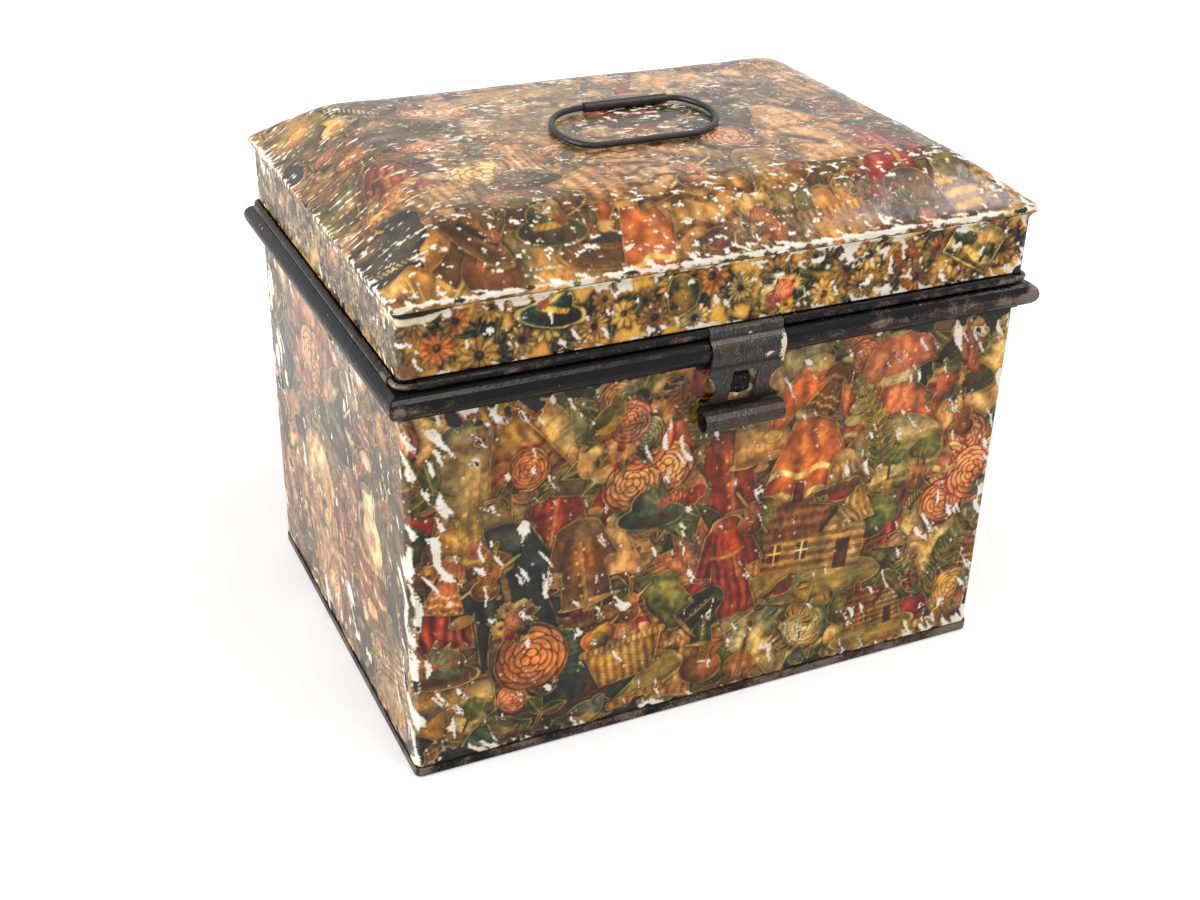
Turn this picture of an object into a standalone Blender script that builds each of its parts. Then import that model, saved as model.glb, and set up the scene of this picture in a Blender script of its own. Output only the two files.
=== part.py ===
"""A japanned tinplate deed box: a sheet-metal body with a half-round moulding, a hipped lid with
a wired edge that hangs on two strap hinges, a slotted hasp on the same wire and a bail handle.

Metres, +Z up. The front faces -Y. The origin is at floor level under the middle of the body."""
import math

import bmesh
import bpy
from mathutils import Matrix, Vector

# Sheets, straps, and the gap left between pieces that touch
SHEET = 0.0008
STRAP = 0.001
FIT = 0.0003

# Body, over its sheets
BODY_WIDTH = 0.4056
BODY_DEPTH = 0.2984
BODY_HEIGHT = 0.2835
BODY_CORNER = 0.0035
HEM_DEPTH = 0.006
LAP = 0.010

# Base pan
PAN_RIM = 0.007
PAN_BEND = 0.0015

# Half-round moulding round the body: its round, its flat stretch and the flange below it, and how
# far the wall stands up inside the lid above it
MOULDING_RADIUS = 0.0078
MOULDING_FLAT = 0.0018
MOULDING_FLANGE = 0.0023
WALL_ABOVE_MOULDING = 0.0179

# Wire in the lid's lower edge, and where the sheet rolled round it is cut back at the corners
WIRE_RADIUS = 0.0017
ROLL_TURN = math.radians(290)
ROLL_CUTBACK = 0.004

# Lid: its skirt is measured from the wire's middle to the eave
LID_CLEARANCE = 0.0005
SKIRT_HEIGHT = 0.0459
EAVE_FLANGE = 0.0026
EAVE_CORNER = 0.005
ROOF_RISE = 0.0297
ROOF_INSET_X = 0.0415
ROOF_INSET_Y = 0.0435
ROOF_CREASE = 0.011
ROOF_CORNER = 0.012
ROOF_CROWN = 0.003

# Hasp: its reach is from the moulding's middle down to the roll's, and its neck and slot are
# measured up from there. Its play is the gap in front of the moulding
HASP_X = 0.0045
HASP_PLAY = 0.0006
HASP_REACH = 0.0446
HASP_TOP_WIDTH = 0.0486
HASP_NECK_WIDTH = 0.036
HASP_ROLL_WIDTH = 0.053
HASP_NECK_RISE = 0.0193
HASP_NECK_RADIUS = 0.0105
HASP_SLOT_WIDTH = 0.0165
HASP_SLOT_LENGTH = 0.0218
HASP_SLOT_RISE = 0.009
HASP_ROLL_RADIUS = 0.0067
HASP_ROLL_TURN = math.radians(312)

# Staple behind the hasp's slot: a low arch whose legs are turned back inside the wall
STAPLE_WIDTH = 0.0125
STAPLE_SPAN = 0.0135
STAPLE_RISE = 0.0032
STAPLE_CORNER = 0.0022
STAPLE_TAIL = 0.005

# Strap hinges on the back: the drop is from the moulding's middle to the bend above the leaf
HINGE_SPACING = 0.240
HINGE_WIDTH = 0.030
HINGE_DROP = 0.0218
HINGE_LEAF = 0.032
HINGE_CORNER = 0.006
STRAP_NOTCH = 0.0008
BARREL_TURN = math.radians(250)

# Rivets
RIVET_SHANK = 0.0013
RIVET_CLENCH = 0.0021
RIVET_HEAD = 0.003
RIVET_DOME = 0.0014
RIVET_PITCH = 0.015
RIVET_FROM_END = 0.008

# Bail handle, hand bent: its grip sits a little to the left of its hinge side
HANDLE_X = -0.001
HANDLE_PIVOT_Y = 0.0235
HANDLE_WIRE = 0.002
HANDLE_LENGTH = 0.110
HANDLE_REACH = 0.068
HANDLE_STRAIGHT = 0.060
HANDLE_SKEW = 0.0095
HANDLE_TWIST = 0.007
HANDLE_REST_GAP = 0.0006
HANDLE_END_GAP = 0.0006

# Clip that holds the handle
CLIP_LENGTH = 0.058
CLIP_TAIL = 0.009

# How finely round forms are divided
CORNER_STEPS = 5
SIDE_STEPS = 6
ROLL_STEPS = 10
BEND_STEPS = 4
HUMP_STEPS = 9
NECK_STEPS = 18
HANDLE_STEPS = 8
RIVET_STEPS = 12
CUT_OVERRUN = 0.004

# Shares of the crease that the roof's soft bend is drawn through, of the top that the crown is, and
# of half a side where the crown is followed along it
BEND_SHARES = (0.25, 0.5, 0.75)
CROWN_SHARES = (0.85, 0.62, 0.38, 0.15)
SIDE_SHARES = [2 * step / SIDE_STEPS - 1 for step in range(1, SIDE_STEPS)]

# Places that follow from the sizes above. An outset is a distance out from the wall's outer face
half_width = BODY_WIDTH / 2
half_depth = BODY_DEPTH / 2
lap_inset = SHEET + FIT
moulding_top = BODY_HEIGHT - WALL_ABOVE_MOULDING
moulding_z = moulding_top - MOULDING_RADIUS
moulding_foot = moulding_z - MOULDING_RADIUS - MOULDING_FLANGE
moulding_middle = FIT + MOULDING_FLAT
barrel_outer = WIRE_RADIUS + FIT + STRAP
wire_z = moulding_top + FIT + barrel_outer
eave_z = wire_z + SKIRT_HEIGHT
skirt_outset = LID_CLEARANCE + SHEET / 2
roll_mid = WIRE_RADIUS + FIT + SHEET / 2
wire_outset = skirt_outset + roll_mid
lip_outset = skirt_outset + EAVE_FLANGE + FIT + SHEET / 2
roof_top_z = eave_z + ROOF_RISE
strap_seat = FIT + STRAP / 2
hasp_roll_z = moulding_z - HASP_REACH
hasp_neck_z = hasp_roll_z + HASP_NECK_RISE
slot_bottom = hasp_roll_z + HASP_SLOT_RISE
slot_top = slot_bottom + HASP_SLOT_LENGTH
hinge_bend_z = moulding_z - HINGE_DROP
hinge_end_z = hinge_bend_z - HINGE_LEAF


def clear_scene():
    for old in list(bpy.data.objects):
        bpy.data.objects.remove(old, do_unlink=True)


def new_collection(name):
    collection = bpy.data.collections.new(name)
    bpy.context.scene.collection.children.link(collection)
    return collection


def principled(name, colour, roughness, metallic):
    material = bpy.data.materials.new(name)
    material.use_nodes = True
    shader = material.node_tree.nodes["Principled BSDF"]
    shader.inputs["Base Color"].default_value = (*colour, 1.0)
    shader.inputs["Roughness"].default_value = roughness
    shader.inputs["Metallic"].default_value = metallic
    return material


def add_piece(name, mesh, material, pivot=None):
    """Put a mesh, drawn in world coordinates, in the part's collection and under its pivot."""
    mesh.materials.append(material)
    mesh.shade_smooth()
    mesh.set_sharp_from_angle(angle=math.radians(40))
    piece = bpy.data.objects.new(name, mesh)
    part_collection.objects.link(piece)
    if pivot is not None:
        mesh.transform(Matrix.Translation(-world_place(pivot)))
        piece.parent = pivot
    return piece


def add_pivot(name, place, parent=None):
    """An empty on a joint's axis; its place is given in world coordinates."""
    pivot = bpy.data.objects.new(name, None)
    part_collection.objects.link(pivot)
    pivot.empty_display_size = MOULDING_RADIUS
    pivot.parent = parent
    pivot.location = Vector(place) - (world_place(parent) if parent else Vector())
    return pivot


def world_place(pivot):
    place = pivot.location.copy()
    while pivot.parent is not None:
        pivot = pivot.parent
        place += pivot.location
    return place


def mesh_from(bm, name):
    bmesh.ops.recalc_face_normals(bm, faces=bm.faces)
    mesh = bpy.data.meshes.new(name)
    bm.to_mesh(mesh)
    bm.free()
    return mesh


def thicken(piece, thickness):
    """Give an open sheet its thickness, half on each side of the surface drawn."""
    solid = piece.modifiers.new("thickness", "SOLIDIFY")
    solid.thickness = thickness
    solid.offset = 0
    solid.use_even_offset = True
    solid.use_rim = True


def cut(piece, cutter):
    boolean = piece.modifiers.new("cut " + cutter.name, "BOOLEAN")
    boolean.operation = "DIFFERENCE"
    boolean.solver = "EXACT"
    boolean.object = cutter


def add_cutter(name, bm):
    cutter = bpy.data.objects.new(name, mesh_from(bm, name))
    cutter_collection.objects.link(cutter)
    cutter.hide_render = True
    cutter.display_type = "WIRE"
    return cutter


def box_cutter(name, low, high):
    bm = bmesh.new()
    bmesh.ops.create_cube(bm, size=1)
    size = Vector(high) - Vector(low)
    middle = (Vector(high) + Vector(low)) / 2
    place = Matrix.Translation(middle) @ Matrix.Diagonal((*size, 1))
    bmesh.ops.transform(bm, matrix=place, verts=bm.verts)
    return add_cutter(name, bm)


def hole_cutter(name, centre, radius, length):
    """A cutter for a round hole that runs along Y."""
    bm = bmesh.new()
    bmesh.ops.create_cone(bm, cap_ends=True, segments=RIVET_STEPS, radius1=radius, radius2=radius,
                          depth=length)
    place = Matrix.Translation(centre) @ Matrix.Rotation(math.radians(90), 4, "X")
    bmesh.ops.transform(bm, matrix=place, verts=bm.verts)
    return add_cutter(name, bm)


def arc(centre, radius, start, end, steps):
    """Points (out, up) on an arc; the angle is 0 straight out and 90 degrees straight up."""
    points = []
    for step in range(steps + 1):
        angle = start + (end - start) * step / steps
        points.append((centre[0] + radius * math.cos(angle), centre[1] + radius * math.sin(angle)))
    return points


def plan_outline(half_x, half_y, radius, marks_x=(), marks_y=()):
    """Columns round a rectangle with round corners: each is a point and its outward direction.

    It runs front, right, back, left. Marks are extra places along the sides, where a sheet is cut."""
    straight_x = half_x - radius
    straight_y = half_y - radius
    along_x = sorted({-straight_x, straight_x, *marks_x})
    along_y = sorted({-straight_y, straight_y, *marks_y})
    columns = []

    def corner(sign_x, sign_y, start):
        for step in range(1, CORNER_STEPS):
            angle = start + math.radians(90) * step / CORNER_STEPS
            out = (math.cos(angle), math.sin(angle))
            middle = (sign_x * straight_x, sign_y * straight_y)
            columns.append((middle[0] + radius * out[0], middle[1] + radius * out[1], *out))

    columns += [(x, -half_y, 0, -1) for x in along_x]
    corner(1, -1, math.radians(-90))
    columns += [(half_x, y, 1, 0) for y in along_y]
    corner(1, 1, 0)
    columns += [(x, half_y, 0, 1) for x in reversed(along_x)]
    corner(-1, 1, math.radians(90))
    columns += [(-half_x, y, -1, 0) for y in reversed(along_y)]
    corner(-1, -1, math.radians(180))
    return columns


def sweep(columns, section, closed, keep=None, floor=False):
    """Sweep a section of (outset, height) points along plan columns as an open sheet.

    keep says which faces stay; floor closes the last row with one face."""
    bm = bmesh.new()
    rows = [[bm.verts.new((x + out_x * outset, y + out_y * outset, height))
             for x, y, out_x, out_y in columns] for outset, height in section]
    spans = len(columns) if closed else len(columns) - 1
    for row in range(len(rows) - 1):
        for span in range(spans):
            after = (span + 1) % len(columns)
            if keep is None or keep(columns[span], columns[after], section[row], section[row + 1]):
                bm.faces.new((rows[row][span], rows[row][after], rows[row + 1][after], rows[row + 1][span]))
    if floor:
        bm.faces.new(rows[-1])
    loose = [vert for vert in bm.verts if not vert.link_faces]
    bmesh.ops.delete(bm, geom=loose, context="VERTS")
    return bm


def loft(rings):
    """Skin rings of equally many points and close the last ring with one face."""
    bm = bmesh.new()
    rows = [[bm.verts.new(point) for point in ring] for ring in rings]
    for lower, upper in zip(rows, rows[1:]):
        for index in range(len(lower)):
            after = (index + 1) % len(lower)
            bm.faces.new((lower[index], lower[after], upper[after], upper[index]))
    bm.faces.new(rows[-1])
    return bm


def ribbon(rows, facing, centre_x, slot=None):
    """A bent strip across X: each row is (outset, height, half width) and facing is -1 or 1 along Y.

    A slot is (half width, low, high) and is left open."""
    bm = bmesh.new()
    lines = []
    for outset, height, half in rows:
        stops = (-half, half) if slot is None else (-half, -slot[0], slot[0], half)
        y = facing * (half_depth + outset)
        lines.append([bm.verts.new((centre_x + stop, y, height)) for stop in stops])
    for index in range(len(rows) - 1):
        middle = (rows[index][1] + rows[index + 1][1]) / 2
        for span in range(len(lines[0]) - 1):
            if slot is not None and span == 1 and slot[1] < middle < slot[2]:
                continue
            upper, lower = lines[index], lines[index + 1]
            bm.faces.new((upper[span], upper[span + 1], lower[span + 1], lower[span]))
    return bm


def mitred_bar(outline, along_x, seat, ends):
    """Extrude a closed outline of (out, up) along one side, its ends cut on the corner's mitre.

    seat is the signed place of the side's face; ends are the signed faces of the two sides it meets."""
    bm = bmesh.new()
    side = 1 if seat > 0 else -1
    loops = []
    for end in ends:
        away = 1 if end > 0 else -1
        loop = []
        for out, up in outline:
            across = seat + side * out
            along = end + away * (out - FIT)
            loop.append(bm.verts.new((along, across, up) if along_x else (across, along, up)))
        loops.append(loop)
    first, last = loops
    for index in range(len(first)):
        after = (index + 1) % len(first)
        bm.faces.new((first[index], first[after], last[after], last[index]))
    bm.faces.new(first)
    bm.faces.new(last)
    return bm


def make_base_pan():
    """Flat floor with an upright rim outside the foot of the walls."""
    plan = plan_outline(half_width, half_depth, BODY_CORNER)
    face = FIT + SHEET / 2
    middle = (face - PAN_BEND, PAN_BEND + SHEET / 2)
    section = [(face, PAN_RIM)] + arc(middle, PAN_BEND, 0, math.radians(-90), BEND_STEPS)
    pan = add_piece("base_pan", mesh_from(sweep(plan, section, True, floor=True), "base_pan"), japan)
    thicken(pan, SHEET)


def wall_section():
    """A wall from above the pan's bend to its hem, which is folded down inside."""
    middle = -SHEET / 2
    inside = middle - SHEET - FIT
    foot = PAN_BEND + SHEET / 2 + FIT
    notch = BODY_HEIGHT - HEM_DEPTH - SHEET
    return [(middle, foot), (middle, notch), (middle, BODY_HEIGHT), (inside, BODY_HEIGHT),
            (inside, BODY_HEIGHT - HEM_DEPTH)]


def make_turned_wall(name, facing):
    """Front or back sheet: turned round both corners, its laps inside the end walls, its hem and
    laps cut away where they would meet the end walls' hem."""
    lap_end = half_depth - BODY_CORNER - LAP
    plan = plan_outline(half_width - lap_inset, half_depth, BODY_CORNER, marks_y=(-lap_end, lap_end))
    notch = wall_section()[1][1]

    def keep(first, second, lower, upper):
        if facing * (first[1] + second[1]) / 2 < lap_end:
            return False
        flat_front = first[3] == facing and second[3] == facing
        is_lap = first[3] == 0 and second[3] == 0
        is_hem = upper[0] != lower[0] or upper[1] < lower[1]
        return flat_front or not is_hem and (not is_lap or upper[1] <= notch)

    wall = add_piece(name, mesh_from(sweep(plan, wall_section(), True, keep), name), japan)
    thicken(wall, SHEET)
    return wall


def make_end_wall(name, side):
    """Flat end sheet between the corners, with its own hem."""
    reach = half_depth - BODY_CORNER - FIT
    plan = [(side * half_width, -reach, side, 0), (side * half_width, reach, side, 0)]
    wall = add_piece(name, mesh_from(sweep(plan, wall_section(), False), name), japan)
    thicken(wall, SHEET)


def moulding_outline():
    """Half-round with an open back, and the flange that is soldered to the wall below it."""
    outer = FIT + SHEET
    middle = (moulding_middle, moulding_z)
    right = math.radians(90)
    low = moulding_z - MOULDING_RADIUS
    top_inside = moulding_top - SHEET
    outline = [(FIT, moulding_foot), (outer, moulding_foot), (outer, low)]
    outline += arc(middle, MOULDING_RADIUS, -right, right, HUMP_STEPS)
    outline += [(FIT, moulding_top), (FIT, top_inside)]
    outline += arc(middle, MOULDING_RADIUS - SHEET, right, -right, HUMP_STEPS)
    outline.append((FIT, low + SHEET))
    return outline


def make_mouldings():
    outline = moulding_outline()
    runs = (("moulding_front", True, -half_depth, (-half_width, half_width)),
            ("moulding_back", True, half_depth, (-half_width, half_width)),
            ("moulding_left", False, -half_width, (-half_depth, half_depth)),
            ("moulding_right", False, half_width, (-half_depth, half_depth)))
    for name, along_x, seat, ends in runs:
        bar = mitred_bar(outline, along_x, seat, ends)
        add_piece(name, mesh_from(bar, name), japan)


def strap_centres():
    """Middle and half width of each strap that holds the lid's wire, front and back."""
    front = [(HASP_X, HASP_TOP_WIDTH / 2)]
    back = [(side * HINGE_SPACING / 2, HINGE_WIDTH / 2) for side in (-1, 1)]
    return front, back


def make_lid_skirt():
    """Upright band of the lid: a flange at the top, and a lower edge rolled outwards round the
    wire, cut back at the corners and notched for the hasp and the hinges."""
    front, back = strap_centres()
    cutback = half_width - BODY_CORNER - ROLL_CUTBACK
    cutback_y = half_depth - BODY_CORNER - ROLL_CUTBACK
    notches = {-1: front, 1: back}
    marks = [-cutback, cutback]
    for straps in notches.values():
        for middle, half in straps:
            marks += [middle - half - STRAP_NOTCH, middle + half + STRAP_NOTCH]
    plan = plan_outline(half_width, half_depth, BODY_CORNER, marks, (-cutback_y, cutback_y))
    notch_top = wire_z + barrel_outer + STRAP_NOTCH
    flange_z = eave_z - SHEET / 2 - SHEET - FIT
    section = [(skirt_outset + EAVE_FLANGE, flange_z), (skirt_outset, flange_z),
               (skirt_outset, notch_top), (skirt_outset, wire_z)]
    left = math.radians(180)
    section += arc((wire_outset, wire_z), roll_mid, left, left + ROLL_TURN, ROLL_STEPS)[1:]

    def keep(first, second, upper, lower):
        middle = ((first[0] + second[0]) / 2, (first[1] + second[1]) / 2)
        straight = first[2:] == second[2:]
        if upper[1] <= notch_top and straight and first[3] != 0:
            for centre, half in notches[first[3]]:
                if abs(middle[0] - centre) < half:
                    return False
        if upper[1] <= wire_z or lower[1] < wire_z or lower[1] < notch_top and lower[0] > skirt_outset:
            along, limit = (middle[0], cutback) if first[3] != 0 else (middle[1], cutback_y)
            return straight and abs(along) < limit
        return True

    mesh = mesh_from(sweep(plan, section, True, keep), "lid_skirt")
    thicken(add_piece("lid_skirt", mesh, japan, lid_pivot), SHEET)


def add_wire(name, points, radius, resolution, cyclic, material, pivot):
    """A round wire along world points, as a polyline curve under its pivot."""
    curve = bpy.data.curves.new(name, "CURVE")
    curve.dimensions = "3D"
    curve.bevel_depth = radius
    curve.bevel_resolution = resolution
    curve.use_fill_caps = True
    spline = curve.splines.new("POLY")
    spline.points.add(len(points) - 1)
    for point, place in zip(spline.points, points):
        point.co = (*(Vector(place) - world_place(pivot)), 1)
    spline.use_cyclic_u = cyclic
    curve.materials.append(material)
    wire = bpy.data.objects.new(name, curve)
    part_collection.objects.link(wire)
    wire.parent = pivot


def make_lid_wire():
    """The wire that stiffens the lid's edge, one ring bent round the corners."""
    points = [(x + out_x * wire_outset, y + out_y * wire_outset, wire_z)
              for x, y, out_x, out_y in plan_outline(half_width, half_depth, BODY_CORNER)]
    add_wire("lid_wire", points, WIRE_RADIUS, 2, True, japan, lid_pivot)


def crown_height(x, y):
    """How far the top stands above its creases at one point."""
    top_x = half_width + lip_outset - ROOF_INSET_X
    top_y = half_depth + lip_outset - ROOF_INSET_Y
    return ROOF_CROWN * max(0, 1 - (x / top_x) ** 2) * max(0, 1 - (y / top_y) ** 2)


def surface_z(x, y):
    """Height of the lid's outer face on its top."""
    return roof_top_z + crown_height(x, y)


def roof_ring(half_x, half_y, radius, level, crowned):
    """One ring of the roof, with places along its sides for the crown to follow."""
    marks_x = [(half_x - radius) * share for share in SIDE_SHARES]
    marks_y = [(half_y - radius) * share for share in SIDE_SHARES]
    plan = plan_outline(half_x, half_y, radius, marks_x, marks_y)
    return [(x, y, level + (crown_height(x, y) if crowned else 0)) for x, y, _, _ in plan]


def make_lid_top():
    """Hipped top: its edge is folded under the skirt's flange, then come four slopes, soft creases
    and a slightly crowned top."""
    lip_x = half_width + lip_outset
    lip_y = half_depth + lip_outset
    level = eave_z - SHEET / 2
    under = level - 2 * (SHEET + FIT)
    seam = skirt_outset + SHEET + FIT
    crease_share = ROOF_CREASE / ROOF_INSET_Y
    rings = [roof_ring(half_width + seam, half_depth + seam, BODY_CORNER + seam, under, False),
             roof_ring(lip_x, lip_y, EAVE_CORNER, under, False),
             roof_ring(lip_x, lip_y, EAVE_CORNER, level, False)]

    def slope_ring(share, lift):
        """share is 0 at the lip and 1 at the crease; lift is the share of the rise."""
        radius = EAVE_CORNER + (ROOF_CORNER - EAVE_CORNER) * min(share, 1)
        half_x = lip_x - ROOF_INSET_X * share
        half_y = lip_y - ROOF_INSET_Y * share
        rings.append(roof_ring(half_x, half_y, radius, level + ROOF_RISE * lift, True))

    slope_ring(1 - crease_share, 1 - crease_share)
    for along in BEND_SHARES:
        slope_ring(1 - crease_share + 2 * crease_share * along, 1 - crease_share * (1 - along) ** 2)
    slope_ring(1 + crease_share, 1)
    inner_x = lip_x - ROOF_INSET_X * (1 + crease_share)
    inner_y = lip_y - ROOF_INSET_Y * (1 + crease_share)
    for share in CROWN_SHARES:
        rings.append(roof_ring(inner_x * share, inner_y * share, ROOF_CORNER * share,
                               level + ROOF_RISE, True))
    top = add_piece("lid_top", mesh_from(loft(rings), "lid_top"), japan, lid_pivot)
    thicken(top, SHEET)
    return top


def strap_rows(end, end_radius, play):
    """Rows (outset, height) of a strap: round the wire, down on to the moulding, over it, and
    straight down to touch a circle of end_radius about end, a point where that is zero.

    play is the gap in front of the moulding; above it the strap stays close."""
    barrel_mid = WIRE_RADIUS + FIT + STRAP / 2
    hump = MOULDING_RADIUS + play + STRAP / 2
    hump_z = moulding_z - (play - FIT)
    rows = arc((wire_outset, wire_z), barrel_mid, BARREL_TURN, 0, ROLL_STEPS)
    start = math.acos((wire_outset + barrel_mid - moulding_middle) / hump)
    run = (end[0] - moulding_middle, end[1] - hump_z)
    leave = math.atan2(run[1], run[0]) + math.acos((hump + end_radius) / math.hypot(*run))
    rows += arc((moulding_middle, hump_z), hump, start, leave, HUMP_STEPS)
    return rows, leave


def neck_half(height):
    """Half width of the hasp's plate: its sides are drawn in on an arc to the neck."""
    off = min(abs(height - hasp_neck_z), HASP_NECK_RADIUS)
    return HASP_NECK_WIDTH / 2 + HASP_NECK_RADIUS - math.sqrt(HASP_NECK_RADIUS ** 2 - off ** 2)


def make_hasp():
    """Slotted hasp: barrel on the wire, hump over the moulding, waisted plate, rolled grip."""
    roll_middle_radius = HASP_ROLL_RADIUS - STRAP / 2
    centre = (strap_seat + roll_middle_radius, hasp_roll_z)
    rows, leave = strap_rows(centre, roll_middle_radius, HASP_PLAY)
    top_half = HASP_TOP_WIDTH / 2
    roll_half = HASP_ROLL_WIDTH / 2
    shaped = [(outset, height, top_half) for outset, height in rows]
    start = leave + math.radians(180)
    roll = arc(centre, roll_middle_radius, start, start + HASP_ROLL_TURN, ROLL_STEPS)
    high, low = rows[-1], roll[0]
    shares = [step / NECK_STEPS for step in range(1, NECK_STEPS)]
    shares += [(high[1] - edge) / (high[1] - low[1]) for edge in (slot_top, slot_bottom)]
    for share in sorted(shares):
        height = high[1] + (low[1] - high[1]) * share
        limit = top_half if height > hasp_neck_z else roll_half
        half = min(neck_half(height), limit)
        shaped.append((high[0] + (low[0] - high[0]) * share, height, half))
    shaped += [(outset, height, roll_half) for outset, height in roll]
    slot = (HASP_SLOT_WIDTH / 2, slot_bottom, slot_top)
    mesh = mesh_from(ribbon(shaped, -1, HASP_X, slot), "hasp")
    thicken(add_piece("hasp", mesh, worn_steel, hasp_pivot), STRAP)


def make_staple(front_wall):
    """Low arch of strap through two slots in the front wall, its legs turned back inside."""
    middle_z = (slot_top + slot_bottom) / 2
    half = STAPLE_SPAN / 2
    crown = STAPLE_RISE - STRAP / 2
    inside = -SHEET - FIT - STRAP / 2
    quarter = math.radians(90)
    bend = crown - STAPLE_CORNER
    upper = arc((bend, middle_z + half - STAPLE_CORNER), STAPLE_CORNER, quarter, 0, BEND_STEPS)
    lower = arc((bend, middle_z - half + STAPLE_CORNER), STAPLE_CORNER, 0, -quarter, BEND_STEPS)
    rows = [(inside, middle_z + half + STAPLE_TAIL), (inside, middle_z + half), *upper, *lower,
            (inside, middle_z - half), (inside, middle_z - half - STAPLE_TAIL)]
    shaped = [(outset, height, STAPLE_WIDTH / 2) for outset, height in rows]
    staple = add_piece("staple", mesh_from(ribbon(shaped, -1, HASP_X), "staple"), japan)
    thicken(staple, STRAP)
    reach_x = STAPLE_WIDTH / 2 + FIT
    reach_z = STRAP / 2 + FIT
    for label, height in (("upper", middle_z + half), ("lower", middle_z - half)):
        low = (HASP_X - reach_x, -half_depth - CUT_OVERRUN, height - reach_z)
        high = (HASP_X + reach_x, -half_depth + SHEET + CUT_OVERRUN, height + reach_z)
        cut(front_wall, box_cutter("staple_slot_" + label, low, high))


def make_hinges(back_wall):
    """Two straps whose barrels hold the wire, riveted to the back below the moulding."""
    rows, _ = strap_rows((strap_seat, hinge_bend_z), 0, FIT)
    half = HINGE_WIDTH / 2
    shaped = [(outset, height, half) for outset, height in rows]
    shaped += [(strap_seat, hinge_bend_z, half), (strap_seat, hinge_end_z + HINGE_CORNER, half)]
    for step in range(1, BEND_STEPS + 1):
        angle = math.radians(90) * step / BEND_STEPS
        inwards = HINGE_CORNER * (1 - math.cos(angle))
        height = hinge_end_z + HINGE_CORNER * (1 - math.sin(angle))
        shaped.append((strap_seat, height, half - inwards))
    for label, side in (("left", -1), ("right", 1)):
        centre_x = side * HINGE_SPACING / 2
        name = "hinge_" + label
        leaf = add_piece(name, mesh_from(ribbon(shaped, 1, centre_x), name), worn_steel)
        thicken(leaf, STRAP)
        for number in (1, 2):
            height = hinge_end_z + RIVET_FROM_END + RIVET_PITCH * (number - 1)
            place = (centre_x, half_depth + strap_seat + STRAP / 2, height)
            hole = hole_cutter("%s_hole_%d" % (name, number), place, RIVET_SHANK + FIT, 2 * CUT_OVERRUN)
            cut(leaf, hole)
            cut(back_wall, hole)
            make_rivet("rivet_%s_%d" % (label, number), place)


def make_rivet(name, place):
    """A turned rivet: domed head outside the leaf, flat clench inside the back sheet."""
    grip = -(STRAP + SHEET + 2 * FIT)
    quarter = math.radians(90)
    profile = [(RIVET_HEAD * math.sin(quarter * step / BEND_STEPS),
                FIT + RIVET_DOME * math.cos(quarter * step / BEND_STEPS)) for step in range(BEND_STEPS + 1)]
    profile += [(RIVET_SHANK, FIT), (RIVET_SHANK, grip), (RIVET_CLENCH, grip),
                (RIVET_CLENCH, grip - SHEET), (0, grip - SHEET)]
    bm = bmesh.new()
    verts = [bm.verts.new((x, 0, z)) for x, z in profile]
    for first, second in zip(verts, verts[1:]):
        bm.edges.new((first, second))
    mesh = bpy.data.meshes.new(name)
    bm.to_mesh(mesh)
    bm.free()
    rivet = add_piece(name, mesh, worn_steel)
    turn = rivet.modifiers.new("turn", "SCREW")
    turn.steps = RIVET_STEPS
    turn.render_steps = RIVET_STEPS
    turn.use_merge_vertices = True
    turn.merge_threshold = SHEET / 100
    rivet.rotation_euler = (math.radians(-90), 0, 0)
    rivet.location = place


def bent_corner(centre, across, along, start):
    """A quarter of an ellipse in the handle's own plane, anticlockwise from start."""
    points = []
    for step in range(HANDLE_STEPS + 1):
        angle = start + math.radians(90) * step / HANDLE_STEPS
        points.append((centre[0] + across * math.cos(angle), centre[1] + along * math.sin(angle)))
    return points


def make_handle():
    """Bail of round wire whose ends meet inside the clip; it lies forward on the lid."""
    half = HANDLE_LENGTH / 2
    hinge_left, hinge_right = HANDLE_SKEW - HANDLE_STRAIGHT / 2, HANDLE_SKEW + HANDLE_STRAIGHT / 2
    grip_left, grip_right = -hinge_right, -hinge_left
    middle = -HANDLE_REACH / 2
    left, right = middle - HANDLE_TWIST, middle + HANDLE_TWIST
    path = [(HANDLE_SKEW - HANDLE_END_GAP / 2, 0)]
    path += bent_corner((hinge_left, left), half + hinge_left, -left, math.radians(90))
    path += bent_corner((grip_left, left), half + grip_left, HANDLE_REACH + left, math.radians(180))
    path += bent_corner((grip_right, right), half - grip_right, HANDLE_REACH + right, math.radians(270))
    path += bent_corner((hinge_right, right), half - hinge_right, -right, 0)
    path.append((HANDLE_SKEW + HANDLE_END_GAP / 2, 0))
    grip_z = surface_z(0, HANDLE_PIVOT_Y - HANDLE_REACH) + HANDLE_WIRE + HANDLE_REST_GAP
    tilt = math.asin((handle_z - grip_z) / HANDLE_REACH)
    points = [(HANDLE_X + across, HANDLE_PIVOT_Y + along * math.cos(tilt), handle_z + along * math.sin(tilt))
              for across, along in path]
    add_wire("handle", points, HANDLE_WIRE, 3, False, worn_steel, handle_pivot)


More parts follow.
